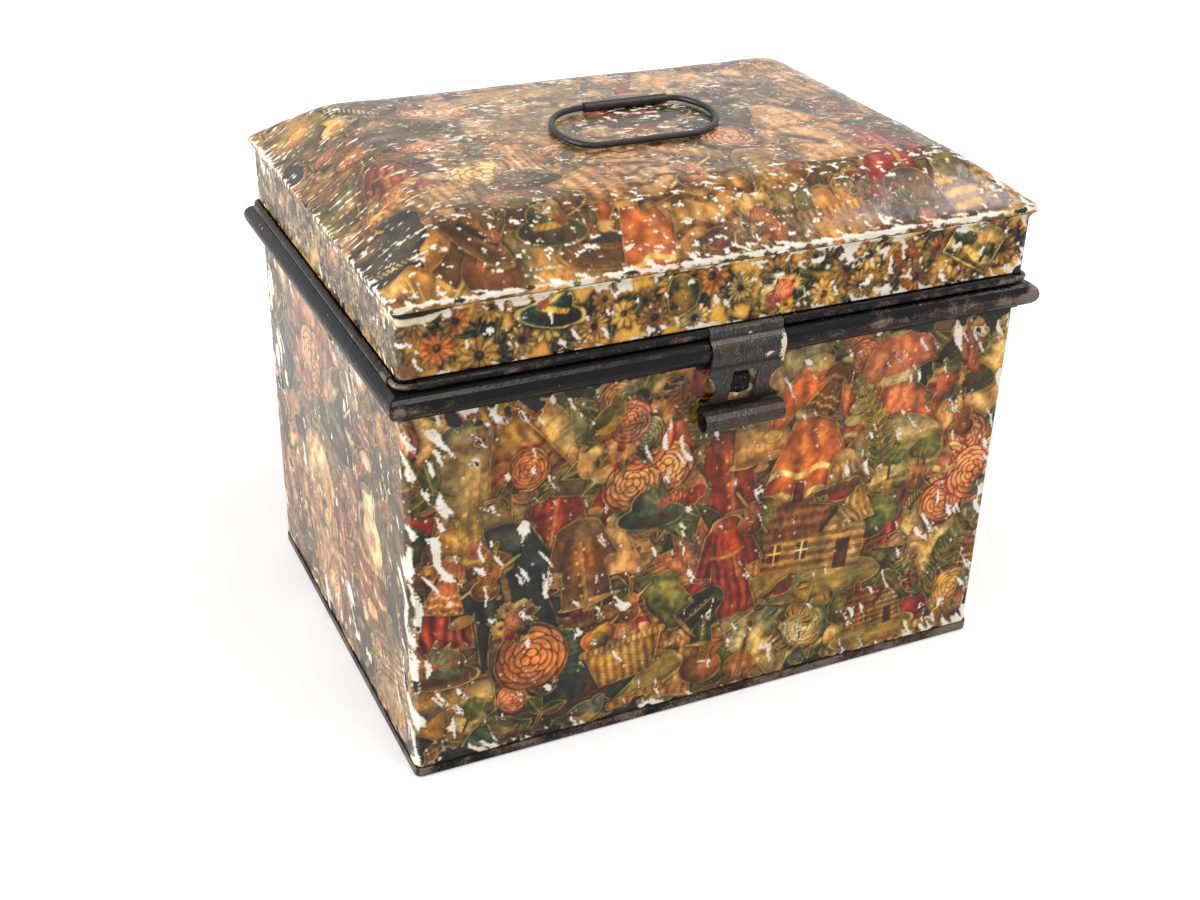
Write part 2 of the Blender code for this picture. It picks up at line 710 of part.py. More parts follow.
def make_handle_clip(lid_top):
    """Strip bent round the handle; its tails pass through a slot in the lid and turn back inside."""
    middle = HANDLE_WIRE + FIT + SHEET / 2
    tail = (SHEET + FIT) / 2
    clip_x = HANDLE_X + HANDLE_SKEW
    ends = (clip_x - CLIP_LENGTH / 2, clip_x + CLIP_LENGTH / 2)
    lowest = min(surface_z(end, HANDLE_PIVOT_Y) for end in ends)
    below = lowest - 2 * SHEET - 2 * FIT
    start = math.asin(tail / middle)
    right = math.radians(90)
    around = arc((0, handle_z), middle, start - right, 3 * right - start, 2 * HUMP_STEPS)
    rows = [(tail + CLIP_TAIL, below), (tail, below), *around, (-tail, below), (-tail - CLIP_TAIL, below)]
    bm = bmesh.new()
    lines = [[bm.verts.new((x, HANDLE_PIVOT_Y + along, height)) for x in ends] for along, height in rows]
    for upper, lower in zip(lines, lines[1:]):
        bm.faces.new((upper[0], upper[1], lower[1], lower[0]))
    clip = add_piece("handle_clip", mesh_from(bm, "handle_clip"), worn_steel, lid_pivot)
    thicken(clip, SHEET)
    reach_y = tail + SHEET / 2 + FIT
    low = (ends[0] - FIT, HANDLE_PIVOT_Y - reach_y, roof_top_z - CUT_OVERRUN)
    high = (ends[1] + FIT, HANDLE_PIVOT_Y + reach_y, roof_top_z + ROOF_CROWN + CUT_OVERRUN)
    cutter = box_cutter("clip_slot", low, high)
    cutter.parent = lid_pivot
    cutter.location = -world_place(lid_pivot)
    cut(lid_top, cutter)


clear_scene()
part_collection = new_collection("deed_box")
cutter_collection = new_collection("cutters")
japan = principled("japanned_tin", (0.035, 0.028, 0.024), 0.35, 0.0)
worn_steel = principled("worn_steel", (0.06, 0.05, 0.045), 0.45, 0.6)

handle_z = surface_z(HANDLE_X, HANDLE_PIVOT_Y) + HANDLE_WIRE + SHEET + 2 * FIT
lid_pivot = add_pivot("lid_axis", (0, half_depth + wire_outset, wire_z))
hasp_pivot = add_pivot("hasp_axis", (HASP_X, -half_depth - wire_outset, wire_z), lid_pivot)
handle_pivot = add_pivot("handle_axis", (HANDLE_X, HANDLE_PIVOT_Y, handle_z), lid_pivot)

make_base_pan()
front = make_turned_wall("wall_front", -1)
back = make_turned_wall("wall_back", 1)
make_end_wall("wall_left", -1)
make_end_wall("wall_right", 1)
make_mouldings()
make_staple(front)
make_hinges(back)
make_lid_skirt()
make_lid_wire()
roof = make_lid_top()
make_handle_clip(roof)
make_handle()
make_hasp()
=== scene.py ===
"""The looks of an old tin deed box: black japan worn to steel, and a varnished collage of paper cut-outs
painted in code on thin skins over its sheets. The collage is a generic one of flowers, hats, dresses,
cottages and the like."""

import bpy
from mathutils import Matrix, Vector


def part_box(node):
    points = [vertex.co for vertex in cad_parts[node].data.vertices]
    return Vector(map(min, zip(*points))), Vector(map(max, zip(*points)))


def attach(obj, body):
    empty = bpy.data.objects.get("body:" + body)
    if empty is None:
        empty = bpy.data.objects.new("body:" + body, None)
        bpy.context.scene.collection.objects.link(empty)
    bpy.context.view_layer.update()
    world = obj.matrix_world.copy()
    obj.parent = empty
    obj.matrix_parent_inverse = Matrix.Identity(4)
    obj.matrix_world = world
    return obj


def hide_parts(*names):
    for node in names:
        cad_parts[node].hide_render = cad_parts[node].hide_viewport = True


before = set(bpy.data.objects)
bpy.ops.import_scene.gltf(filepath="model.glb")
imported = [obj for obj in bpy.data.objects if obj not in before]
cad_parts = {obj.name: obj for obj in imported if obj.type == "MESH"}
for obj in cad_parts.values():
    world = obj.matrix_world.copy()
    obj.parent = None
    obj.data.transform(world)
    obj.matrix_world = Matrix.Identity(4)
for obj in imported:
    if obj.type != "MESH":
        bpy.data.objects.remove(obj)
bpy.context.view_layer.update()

import math
from functools import cached_property

import bpy
import numpy as np
from mathutils import Matrix, Vector
from mathutils.bvhtree import BVHTree
from mathutils.noise import noise as noise_at


def rgb(red, green, blue):
    return np.array((red, green, blue), np.float32) / 255


# Printing inks and papers, as seen through yellowed varnish
PAPER = rgb(214, 190, 138)
CHIP = rgb(253, 249, 240)
VARNISH = rgb(229, 191, 119)
JAPAN = rgb(34, 32, 30)
OCHRE = rgb(170, 138, 82)
STRAW = rgb(152, 112, 58)
GOLD = rgb(202, 156, 66)
ORANGE = rgb(196, 92, 44)
BRICK = rgb(142, 46, 34)
CRIMSON = rgb(152, 34, 40)
ROSE = rgb(196, 104, 90)
BLUSH = rgb(214, 158, 124)
TAN = rgb(188, 144, 100)
BROWN = rgb(104, 66, 38)
UMBER = rgb(58, 40, 28)
NAVY = rgb(32, 40, 52)
TEAL = rgb(62, 92, 90)
SLATE = rgb(92, 108, 112)
OLIVE = rgb(100, 108, 54)
LEAF = rgb(82, 102, 46)
MOSS = rgb(56, 66, 36)
GREY = rgb(124, 118, 98)
CREAM = rgb(232, 214, 166)
GREENS = (LEAF, OLIVE, MOSS)

# What a patch of warmer or cooler ink does to red, green and blue
WARM = np.array((0.35, 0.0, -0.5), np.float32)

# Where the tin is, in metres
WALL_X, WALL_Y = 0.2028, 0.1492
WALL_BEND, WALL_LAP = (0.1982, 0.1457, 0.0035), (0.2029, 0.1453)
SKIRT_X, SKIRT_Y, SKIRT_CORNER = 0.2041, 0.1505, 0.0048
LIP_X, LIP_Y, LIP_CORNER = 0.2074, 0.1538, 0.0054
BODY_LOW, BODY_HIGH = 0.0073, 0.2475
SKIRT_LOW, SKIRT_HIGH = 0.2723, 0.3114
LIP_TOP, LIP_DROP = 0.3148, 0.0034
SKIRT_OVERHANG = 0.0026
ROOF_FLAT_X, ROOF_FLAT_Y = 0.1655, 0.1099

# Where a place counts as being on the front, the back or the left, and on the skirt's front
FRONT, BACK, LEFT = -0.148, 0.148, -0.2
SKIRT_FRONT = -0.147

# The upright edges where the paper is worn, and where the body's left end stays dark
WALL_EDGE, SKIRT_EDGE = (0.2, 0.147), (0.2035, 0.15)
DARK_END = 0.1445

# What lies close over the paper, as spans: the hasp, and the hinge straps from the middle out
HASP_SPAN, BELOW_HASP = (-0.024, 0.033), (0.202, 0.26)
STRAP_SPAN, BELOW_STRAP = (0.104, 0.136), (0.2, 0.26)

# The paper's gap from the tin and its greatest thickness over that
PAPER_GAP = 0.00014
PAPER_LIMIT = 0.0003
FINE, COARSE = ((0.00062, 0.00095))
PAINT_STEP = 0.0006

FULL_TURN = 6.283


# Numbers on grids

def mix(first, second, share):
    share = np.asarray(share, np.float32)
    if share.ndim:
        share = share[..., None]
    return first + (second - first) * share


def smooth(value, low, high):
    share = np.clip((value - low) / (high - low), 0, 1)
    return share * share * (3 - 2 * share)


def near(x, y, at_x, at_y, reach_x, reach_y):
    """A soft patch: 1 at its middle, 0 well outside."""
    return np.exp(-((x - at_x) / reach_x) ** 2 - ((y - at_y) / reach_y) ** 2)


def inside(x, span, soft=0.004):
    return smooth(x, span[0] - soft, span[0]) * (1 - smooth(x, span[1], span[1] + soft))


def lattice(size, count):
    place = np.arange(size, dtype=np.float32) * count / size
    cell = np.minimum(place.astype(int), count - 1)
    share = place - cell
    return cell, share * share * (3 - 2 * share)


def noise(shape, cells, rng, cyclic=False):
    """Smooth random values from 0 to 1 on a grid; cells is (rows, columns) of grid points a cell."""
    counts = [max(1, round(size / cell)) for size, cell in zip(shape, cells)]
    knots = rng.random((counts[0] + 1, counts[1] + 1)).astype(np.float32)
    if cyclic:
        knots[:, -1] = knots[:, 0]
    rows, row_share = lattice(shape[0], counts[0])
    columns, share = lattice(shape[1], counts[1])
    across = knots[:, columns] * (1 - share) + knots[:, columns + 1] * share
    return across[rows] * (1 - row_share[:, None]) + across[rows + 1] * row_share[:, None]


def layers(shape, cell, rng, octaves=3, stretch=1.0, cyclic=False):
    """Noise of several sizes added up, from 0 to 1; stretch makes its grain longer up the grid."""
    total = 0
    for octave in range(octaves):
        size = cell / 2 ** octave
        total = total + noise(shape, (max(size * stretch, 1), max(size, 1)), rng, cyclic) / 2 ** octave
    return total / (2 - 2 ** (1 - octaves))


def blur(padded):
    rows = (padded[:-2] + 2 * padded[1:-1] + padded[2:]) / 4
    return (rows[:, :-2] + 2 * rows[:, 1:-1] + rows[:, 2:]) / 4


def sample(grid, column, row, cyclic=False):
    """Values of a grid between its points."""
    rows, columns = grid.shape[:2]
    row = np.clip(row, 0, rows - 1.001)
    column = column % columns if cyclic else np.clip(column, 0, columns - 1.001)
    low_row, low_column = np.floor(row).astype(int), np.floor(column).astype(int)
    low_column = np.minimum(low_column, columns - 1)
    next_column = (low_column + 1) % columns
    up, right = row - low_row, column - low_column
    if grid.ndim == 3:
        up, right = up[..., None], right[..., None]
    lower = grid[low_row, low_column] * (1 - right) + grid[low_row, next_column] * right
    upper = grid[low_row + 1, low_column] * (1 - right) + grid[low_row + 1, next_column] * right
    return lower * (1 - up) + upper * up


class Canvas:
    """Paper laid out flat: its colour, height and gloss on a grid. It may close round the box."""

    def __init__(self, width, height, seed, cyclic=False):
        self.step = PAINT_STEP
        self.millimetre = 0.001 / PAINT_STEP
        self.cyclic = cyclic
        self.rng = np.random.default_rng(seed)
        self.rows = round(height / self.step) + 1
        self.columns = round(width / self.step) + (0 if cyclic else 1)
        self.size = (self.columns * self.step, self.rows * self.step)
        self.relief = np.zeros((self.rows, self.columns), np.float32)
        self.rough = np.full(self.relief.shape, 0.2, np.float32)
        self.colour = mix(UMBER, OCHRE, 0.2 + 0.6 * self.clouds(40, 4))

    def specks(self, tall, wide=None):
        """Noise of one size all over; a cell's size is in millimetres."""
        cells = (tall * self.millimetre, (wide or tall) * self.millimetre)
        return noise(self.relief.shape, cells, self.rng, self.cyclic)

    def clouds(self, cell, octaves=3, stretch=1.0):
        """Layers of noise all over; cell is in grid points."""
        return layers(self.relief.shape, cell, self.rng, octaves, stretch, self.cyclic)

    def tint(self, hue, share):
        self.colour = mix(self.colour, hue, share)

    def stain(self, hue, share):
        self.colour = mix(self.colour, self.colour * hue, share)

    def contrast(self, gain):
        middle = self.colour.mean((0, 1))
        self.colour = middle + gain * (self.colour - middle)

    def window(self, at, reach):
        """Grid points within reach of a place: their index and their places relative to it."""
        middle = (round(at[0] / self.step), round(at[1] / self.step))
        pixels = math.ceil(reach / self.step)
        rows = np.arange(max(0, middle[1] - pixels), min(self.rows, middle[1] + pixels + 1))
        columns = np.arange(middle[0] - pixels, middle[0] + pixels + 1)
        if not self.cyclic:
            columns = columns[(columns >= 0) & (columns < self.columns)]
        x, y = np.meshgrid(columns * self.step - at[0], rows * self.step - at[1])
        return np.ix_(rows, columns % self.columns), x.astype(np.float32), y.astype(np.float32)

    def at(self, column, row):
        """Height, colour and gloss between the grid's points."""
        relief = sample(self.relief, column, row, self.cyclic)
        return (np.clip(relief, -0.8 * PAPER_GAP, PAPER_LIMIT), sample(self.colour, column, row, self.cyclic),
                sample(self.rough, column, row, self.cyclic))


class Cutout:
    """One cut-out scrap. Its drawing runs from about -1 to 1; what is drawn later lies on top."""

    def __init__(self, canvas, at, size, turn, mirror):
        self.canvas = canvas
        self.size = size
        self.place, x, y = canvas.window(at, 1.45 * size)
        side = -1 if mirror else 1
        self.x = side * (math.cos(turn) * x + math.sin(turn) * y) / size
        self.y = (math.cos(turn) * y - math.sin(turn) * x) / size
        self.unit = canvas.step / size
        self.rng = canvas.rng
        paper = mix(PAPER, mix(OCHRE, OLIVE, self.rng.random()), self.rng.uniform(0.3, 0.9))
        self.ink = np.broadcast_to(paper, (*self.x.shape, 3)).astype(np.float32)
        self.cut = np.full(self.x.shape, 9, np.float32)

    def pick(self, *choices):
        return choices[self.rng.integers(len(choices))]

    def noise(self, rows, columns):
        return noise(self.x.shape, (rows, columns), self.rng)

    def layers(self, cell, octaves):
        return layers(self.x.shape, cell, self.rng, octaves)

    def fill(self, distance, colour, counts=True, inside=None, soft=1.0):
        """Ink what lies inside a shape, which also widens the cut-out unless counts is false."""
        mask = np.clip(0.5 - distance / (self.unit * soft), 0, 1)
        if inside is not None:
            mask = mask * inside
        self.ink = self.ink + (colour - self.ink) * mask[..., None]
        if counts:
            self.cut = np.minimum(self.cut, distance)
        return mask

    def line(self, points, width, colour, counts=False, inside=None):
        return self.fill(stroke(self, points, width), colour, counts, inside)

    def oval(self, form, colour, **how):
        """Form is an oval's cx, cy, rx and, where they matter, ry and turn."""
        return self.fill(oval(self, *form), colour, **how)

    def panel(self, points, colour, **how):
        return self.fill(polygon(self, points), colour, **how)

    def paste(self, border, lift):
        """Lay the scrap on the canvas with its pale cut border and a dark line round it, partly glue and
        partly a painted shadow of its edge.
        """
        canvas, place, millimetre = self.canvas, self.place, self.canvas.millimetre
        brushed = self.layers(9 * millimetre, 3) - 0.5
        warmth = self.layers(16 * millimetre, 2) - 0.5
        depth = 0.7 + 0.36 * smooth(-self.cut * self.size, 0, 0.009)
        edge = smooth(self.cut * self.size, -0.0001, 0.0002)
        shade = (1 + 0.7 * brushed) * (depth + (1 - depth) * edge)
        fine = self.layers(3.4 * millimetre, 3)
        shade *= 1 + 0.22 * (smooth(fine, 0.3, 0.7) - 0.5) + 0.07 * (smooth(fine, 0.46, 0.54) - 0.5)
        self.ink = self.ink * shade[..., None] * (1 + warmth[..., None] * WARM)
        grain = self.noise(6 * millimetre, 6 * millimetre) - 0.5
        beyond = (self.cut * self.size - border * (1 + 1.6 * grain)) / canvas.step
        mask = np.clip(0.5 - beyond, 0, 1)[..., None]
        # The dark line just outside the cut: glue there, and a painted shadow of the scrap's edge
        rim = np.exp(-np.clip(beyond - 0.5, 0, 9) / 1.6)[..., None]
        under = canvas.colour[place] * (1 - 0.5 * rim * (1 - mask))
        canvas.colour[place] = under + (self.ink - under) * mask
        canvas.relief[place] += lift * mask[..., 0]


def stick(canvas, motif, at, size, turn, border=0.0008, lift=0.00007):
    """Draw a motif on a scrap, mirrored half of the time, and paste it."""
    scrap = Cutout(canvas, at, size, turn, canvas.rng.random() < 0.5)
    if scrap.x.size:
        motif(scrap)
        scrap.paste(border, lift)


# Distances to shapes, below zero inside them, in a cut-out's own units

def oval(at, cx, cy, rx, ry=None, turn=0.0):
    ry = rx if ry is None else ry
    x, y = at.x - cx, at.y - cy
    across = (math.cos(turn) * x + math.sin(turn) * y) / rx
    along = (math.cos(turn) * y - math.sin(turn) * x) / ry
    return (np.sqrt(across ** 2 + along ** 2) - 1) * min(rx, ry)


def blade(at, start, end, width, belly=1.0):
    """A leaf or petal from start to end; belly below 1 swells near the start, above 1 near the end."""
    dx, dy = end[0] - start[0], end[1] - start[1]
    length = math.hypot(dx, dy)
    x, y = at.x - start[0], at.y - start[1]
    along = (x * dx + y * dy) / length ** 2
    across = (y * dx - x * dy) / length
    share = np.clip(along, 0, 1)
    half = width * np.sin(math.pi * share ** belly)
    beyond = np.abs(along - share) * length
    return np.where(beyond > 0, np.hypot(beyond, across), np.abs(across) - half), along, across / width


def stroke(at, points, width):
    """A line through points; width is one half width, or one at each end."""
    first, last = width if isinstance(width, tuple) else (width, width)
    nearest = np.full(at.x.shape, 9, np.float32)
    spans = len(points) - 1
    for index in range(spans):
        (ax, ay), (bx, by) = points[index], points[index + 1]
        dx, dy = bx - ax, by - ay
        share = np.clip(((at.x - ax) * dx + (at.y - ay) * dy) / (dx * dx + dy * dy + 1e-9), 0, 1)
        half = first + (last - first) * (index + share) / spans
        nearest = np.minimum(nearest, np.hypot(at.x - ax - share * dx, at.y - ay - share * dy) - half)
    return nearest


def polygon(at, points):
    nearest = stroke(at, [*points, points[0]], 0)
    within = np.zeros(at.x.shape, bool)
    for (ax, ay), (bx, by) in zip(points, [*points[1:], points[0]]):
        if ay != by:
            within ^= ((ay > at.y) != (by > at.y)) & (at.x < (bx - ax) * (at.y - ay) / (by - ay) + ax)
    return np.where(within, -nearest, nearest)


def blob(at, cx, cy, radius, rough=0.12, flat=1.0):
    x, y = at.x - cx, (at.y - cy) / flat
    angle = np.arctan2(y, x)
    reach = 1 + sum(rough / k * np.cos(k * angle + at.rng.uniform(0, 6.3)) for k in (2, 3, 5, 8, 13))
    return (np.hypot(x, y) / radius / reach - 1) * radius * min(1, flat)


def curve(points, steps=14):
    """Points on a smooth curve through three chosen ones."""
    first, middle, last = (np.array(p, float) for p in points)
    handle = 2 * middle - (first + last) / 2
    shares = np.linspace(0, 1, steps)[:, None]
    path = first * (1 - shares) ** 2 + 2 * handle * shares * (1 - shares) + last * shares ** 2
    return [tuple(p) for p in path]


def polar(reach, turn, cx=0.0, cy=0.0):
    return cx + reach * math.cos(turn), cy + reach * math.sin(turn)


def turns(count, start=0.0):
    return [start + FULL_TURN * index / count for index in range(count)]


def sun(at, cx, cy, radius, strength=0.3):
    """Light that falls on a round form from the upper left."""
    return 1 + strength * np.clip((at.y - cy - at.x + cx) / (1.4 * radius), -1, 1)[..., None]


def folds(c, colour, pitch, strength=0.35, lean=0.0):
    """Colour of hanging cloth: folds that run down, drift, swell and fade."""
    drift = 1.6 * c.layers(0.5 / c.unit, 2)
    swell = c.noise(0.6 / c.unit, 0.3 / c.unit)
    wave = np.sin(FULL_TURN * ((c.x + lean * c.y) / pitch + drift)) * swell
    return colour * (0.95 + 0.8 * strength * wave + 0.12 * c.y)[..., None]


# Flowers and leaves

def leaf(c, start, end, width, colour, belly=0.9):
    distance, along, across = blade(c, start, end, width, belly)
    veins = 0.88 + 0.12 * np.sign(np.sin(16 * (along - 0.35 * np.abs(across))))
    tone = np.where(across > 0, 1.16, 0.82) * veins
    c.fill(distance, colour * tone[..., None])
    c.line([start, end], 0.012, mix(colour, CREAM, 0.5), inside=np.clip(0.5 - distance / c.unit, 0, 1))


def spray(c, points, count, length, width, colours):
    """A stem with leaves on both sides that grow shorter to its tip."""
    path = curve(points, count + 1)
    c.line(path, (0.022, 0.008), BROWN, counts=True)
    for index in range(1, count + 1):
        (ax, ay), (bx, by) = path[index - 1], path[index]
        heading = math.atan2(by - ay, bx - ax)
        reach = length * (1.1 - 0.6 * index / count)
        for side in (-1, 1):
            tip = polar(reach, heading + side * 0.95, bx, by)
            leaf(c, (bx, by), tip, width * reach / length, colours[(index + side) % len(colours)])


def rose(c, cx, cy, radius, light, dark):
    """A full rose: petals in rings that grow smaller and darker to the heart."""
    c.fill(blob(c, cx, cy, radius, 0.06), dark)
    rim = mix(light, CREAM, 0.35)
    for ring, share in enumerate((1.0, 0.8, 0.62, 0.45, 0.28)):
        for turn in turns(7 - ring, c.rng.uniform(0, 6.3)):
            px, py = polar(0.56 * share * radius, turn, cx, cy)
            distance = oval(c, px, py, 0.5 * share * radius, 0.38 * share * radius, turn + 1.57)
            c.fill(distance - 0.035 * radius, dark * 0.62, False)
            body = mix(dark, light, c.rng.uniform(0.2, 0.75) - 0.06 * ring)
            inner = smooth(-distance, 0.02 * radius, 0.2 * radius)
            c.fill(distance, mix(rim, body, inner) * sun(c, cx, cy, radius, 0.22))


def daisy(c, cx, cy, radius, colour, heart, count=12):
    start = c.rng.uniform(0, 1)
    for ring, share in ((0, 1.0), (1, 0.78)):
        for index in range(count):
            tip = polar(share * radius, start + FULL_TURN * (index + ring / 2) / count, cx, cy)
            distance, along, _ = blade(c, (cx, cy), tip, 2.1 * share * radius / count, 1.5)
            tone = 0.62 + 0.5 * np.clip(along, 0, 1) - 0.12 * (1 - ring)
            c.fill(distance, colour * tone[..., None])
    c.oval((cx, cy, 0.26 * radius), heart * sun(c, cx, cy, 0.26 * radius, 0.5))


def pansy(c, cx, cy, radius, upper, lower):
    for turn, colour in ((2.2, upper), (0.94, upper), (3.4, lower), (-0.26, lower), (-1.57, lower)):
        distance = oval(c, *polar(0.45 * radius, turn, cx, cy), 0.5 * radius)
        c.fill(distance, mix(mix(colour, CREAM, 0.4), colour, smooth(-distance, 0, 0.16 * radius)))
    c.oval((cx, cy - 0.1 * radius, 0.3 * radius, 0.2 * radius), UMBER, soft=4)
    c.oval((cx, cy, 0.1 * radius), GOLD)


def berries(c, cx, cy, radius, count, colour):
    size = 0.24 * radius
    for _ in range(count):
        px, py = cx + c.rng.normal(0, 0.5 * radius), cy + c.rng.normal(0, 0.6 * radius)
        c.oval((px, py, size), colour * sun(c, px, py, size, 0.6))
        c.oval((px - 0.35 * size, py + 0.35 * size, 0.2 * size), CREAM)


def bouquet(c):
    """Roses, daisies and pansies over a spread of leaves."""
    for index, turn in enumerate(turns(11)):
        turn += c.rng.uniform(-0.2, 0.2)
        leaf(c, (0, 0), polar(c.rng.uniform(0.75, 1.0), turn), 0.17, GREENS[index % 3])
    for turn in turns(6):
        turn += c.rng.uniform(-0.3, 0.3)
        cx, cy = polar(c.rng.uniform(0.38, 0.55), turn)
        light, dark = c.pick((ROSE, CRIMSON), (BLUSH, BRICK), (CREAM, TAN), (GOLD, ORANGE), (SLATE, NAVY))
        kind = c.rng.integers(3)
        if kind == 0:
            rose(c, cx, cy, 0.32, light, dark)
        elif kind == 1:
            daisy(c, cx, cy, 0.32, light, BROWN)
        else:
            pansy(c, cx, cy, 0.3, light, dark)
    rose(c, 0, 0, 0.38, ROSE, CRIMSON)


def single_rose(c):
    spray(c, ((0.1, -1.1), (-0.1, -0.6), (0, 0)), 3, 0.5, 0.13, (LEAF, MOSS))
    light, dark = c.pick((ROSE, CRIMSON), (ORANGE, BRICK), (BLUSH, ROSE), (CREAM, OCHRE))
    rose(c, 0, 0.35, 0.62, light, dark)


def fern(c):
    spray(c, ((-0.5, -1), (-0.1, 0), (0.6, 0.9)), 13, 0.42, 0.07, (LEAF, MOSS, OLIVE))


def branch(c):
    colours = c.pick((LEAF, OLIVE), (TEAL, MOSS), (STRAW, BRICK))
    spray(c, ((-0.9, -0.6), (0.1, -0.1), (0.8, 0.7)), 7, 0.5, 0.14, colours)
    berries(c, 0.2, 0, 0.4, 9, CRIMSON)


def sprig(c):
    hue = c.pick(GOLD, BLUSH, CRIMSON, CREAM, SLATE)
    spray(c, ((-0.6, -0.8), (0, -0.3), (0.2, 0.4)), 4, 0.45, 0.12, GREENS)
    for cx, cy, size in ((0.25, 0.55, 0.36), (-0.35, 0.2, 0.26), (0.5, -0.05, 0.22)):
        daisy(c, cx, cy, size, hue, UMBER, 8)


def border_leaves(c):
    """Spear leaves of the printed border."""
    for turn in (0.5, 1.1, 1.7, 2.5):
        tip = polar(c.rng.uniform(0.8, 1.3), turn, 0, -0.6)
        leaf(c, (0, -0.6), tip, 0.15, mix(MOSS, OLIVE, c.rng.random()), 0.8)


def border_flower(c):
    """A flower of the printed border, tone on tone, each petal outlined in brown."""
    hue = mix(OCHRE, c.pick(CREAM, GOLD, STRAW, CREAM, ORANGE), 0.45)
    count = c.rng.integers(9, 16)
    for _ in range(3):
        turn = c.rng.uniform(-2.8, -0.4)
        leaf(c, (0, 0), polar(1.15, turn), 0.17, mix(OLIVE, MOSS, c.rng.random()))
    for turn in turns(count):
        distance, along, across = blade(c, (0, 0), polar(0.85, turn), 1.8 / count, 1.4)
        c.fill(distance - 0.035, BROWN)
        tone = 0.8 + 0.35 * np.clip(along, 0, 1) - 0.15 * np.clip(np.abs(across), 0, 1)
        c.fill(distance, hue * tone[..., None], False)
    c.oval((0, 0, 0.2), UMBER)
    c.oval((-0.04, 0.05, 0.09), BROWN, counts=False)


# Clothes

def shawl(c):
    """A big folded shawl with a fringe."""
    hue = c.pick(BROWN, NAVY, BRICK, TAN, MOSS, UMBER)
    c.fill(blob(c, 0, 0.1, 0.8, 0.16), folds(c, hue, 0.5, 0.5, 0.6))
    c.panel(((-0.6, 0.2), (0.55, 0.1), (0.15, -0.95)), folds(c, hue * 1.15, 0.3, 0.4, -0.4))
    for index in range(12):
        px, drop = -0.45 + index * 0.06, 0.9 * (0.1 + index / 20)
        c.line(((px, -0.05 - drop), (px, -0.2 - drop)), 0.01, CREAM)
    c.fill(blob(c, 0.1, 0.45, 0.3, 0.2, 0.5), mix(hue, TAN, 0.35) * sun(c, 0, 0.4, 0.4, 0.4))


def robe(c):
    """A long hanging gown with a gold cord."""
    hue = c.pick(BRICK, CRIMSON, BRICK, TAN, BRICK)
    for side in (-1, 1):
        sleeve = ((side * 0.16, 0.82), (side * 0.34, 0.7), (side * 0.6, 0.0), (side * 0.32, -0.08))
        c.panel(sleeve, folds(c, hue * 0.9, 0.14, 0.4, side * 0.5))
    body = ((-0.22, 0.85), (0.22, 0.85), (0.27, 0.3), (0.34, -0.4), (0.44, -0.95), (-0.4, -0.95),
            (-0.33, -0.4), (-0.27, 0.3))
    mask = c.panel(body, folds(c, hue, 0.15, 0.6))
    c.fill(blob(c, 0, 0.8, 0.24, 0.1, 0.6), mix(hue, TAN, 0.3) * sun(c, 0, 0.8, 0.3, 0.4))
    c.line(curve(((-0.28, 0.28), (0, 0.22), (0.28, 0.3))), 0.03, GOLD * 0.8, True)
    c.line(((0.1, 0.25), (0.16, -0.2)), (0.015, 0.035), STRAW, True)
    c.fill(c.y + 0.9, mix(hue, GOLD, 0.5), False, mask)


def dress(c):
    """A paper doll's dress: bodice, sleeves and a wide flounced skirt."""
    hue, trim = c.pick((BRICK, GOLD), (TEAL, CREAM), (ROSE, CREAM), (STRAW, BRICK), (TAN, BROWN),
                       (OCHRE, BLUSH), (BLUSH, TAN), (GREY, CREAM), (BROWN, TAN), (ORANGE, CREAM))
    for side in (-1, 1):
        sleeve = blade(c, (side * 0.14, 0.72), (side * 0.5, 0.02), 0.13, 0.8)[0]
        c.fill(sleeve, folds(c, hue, 0.16, 0.3))
        c.oval((side * 0.46, 0.08, 0.09, 0.06), trim)
    skirt = ((-0.18, 0.25), (0.18, 0.25), (0.42, -0.3), (0.66, -0.95), (-0.66, -0.95), (-0.42, -0.3))
    mask = c.panel(skirt, folds(c, hue, 0.2, 0.34, 0.1))
    for height in (-0.4, -0.66, -0.9):
        hem = np.abs(c.y - height - 0.04 * np.sin(14 * c.x)) - 0.035
        c.fill(hem, trim * (0.9 + 0.2 * np.sin(40 * c.x))[..., None], False, mask)
    c.panel(((-0.2, 0.75), (0.2, 0.75), (0.16, 0.25), (-0.16, 0.25)), folds(c, hue * 1.1, 0.11, 0.25))
    c.line(((-0.17, 0.26), (0.17, 0.26)), 0.05, trim, True)
    c.fill(blob(c, 0, 0.78, 0.17, 0.15, 0.5), CREAM * 0.95)


def coat(c):
    """A child's dark coat with a cape, buttons and a fur edge."""
    hue = c.pick(NAVY, BRICK, MOSS, BROWN, TAN, GREY)
    for side in (-1, 1):
        c.line(((side * 0.24, 0.55), (side * 0.5, -0.05)), (0.17, 0.12), folds(c, hue, 0.2, 0.25), True)
        c.oval((side * 0.52, -0.12, 0.12, 0.07), TAN)
    c.panel(((-0.28, 0.7), (0.28, 0.7), (0.46, -0.85), (-0.46, -0.85)), folds(c, hue, 0.24, 0.3))
    c.fill(blob(c, 0, 0.6, 0.36, 0.06, 0.55), mix(hue, SLATE, 0.25) * sun(c, 0, 0.6, 0.4, 0.4))
    c.line(((0, 0.35), (0.02, -0.84)), 0.035, mix(hue, TAN, 0.5))
    for index in range(5):
        c.oval((0.09, 0.2 - 0.22 * index, 0.03), GOLD, counts=False)
    c.fill(blob(c, 0, -0.84, 0.46, 0.05, 0.14), TAN * sun(c, 0, -0.84, 0.2, 0.3))


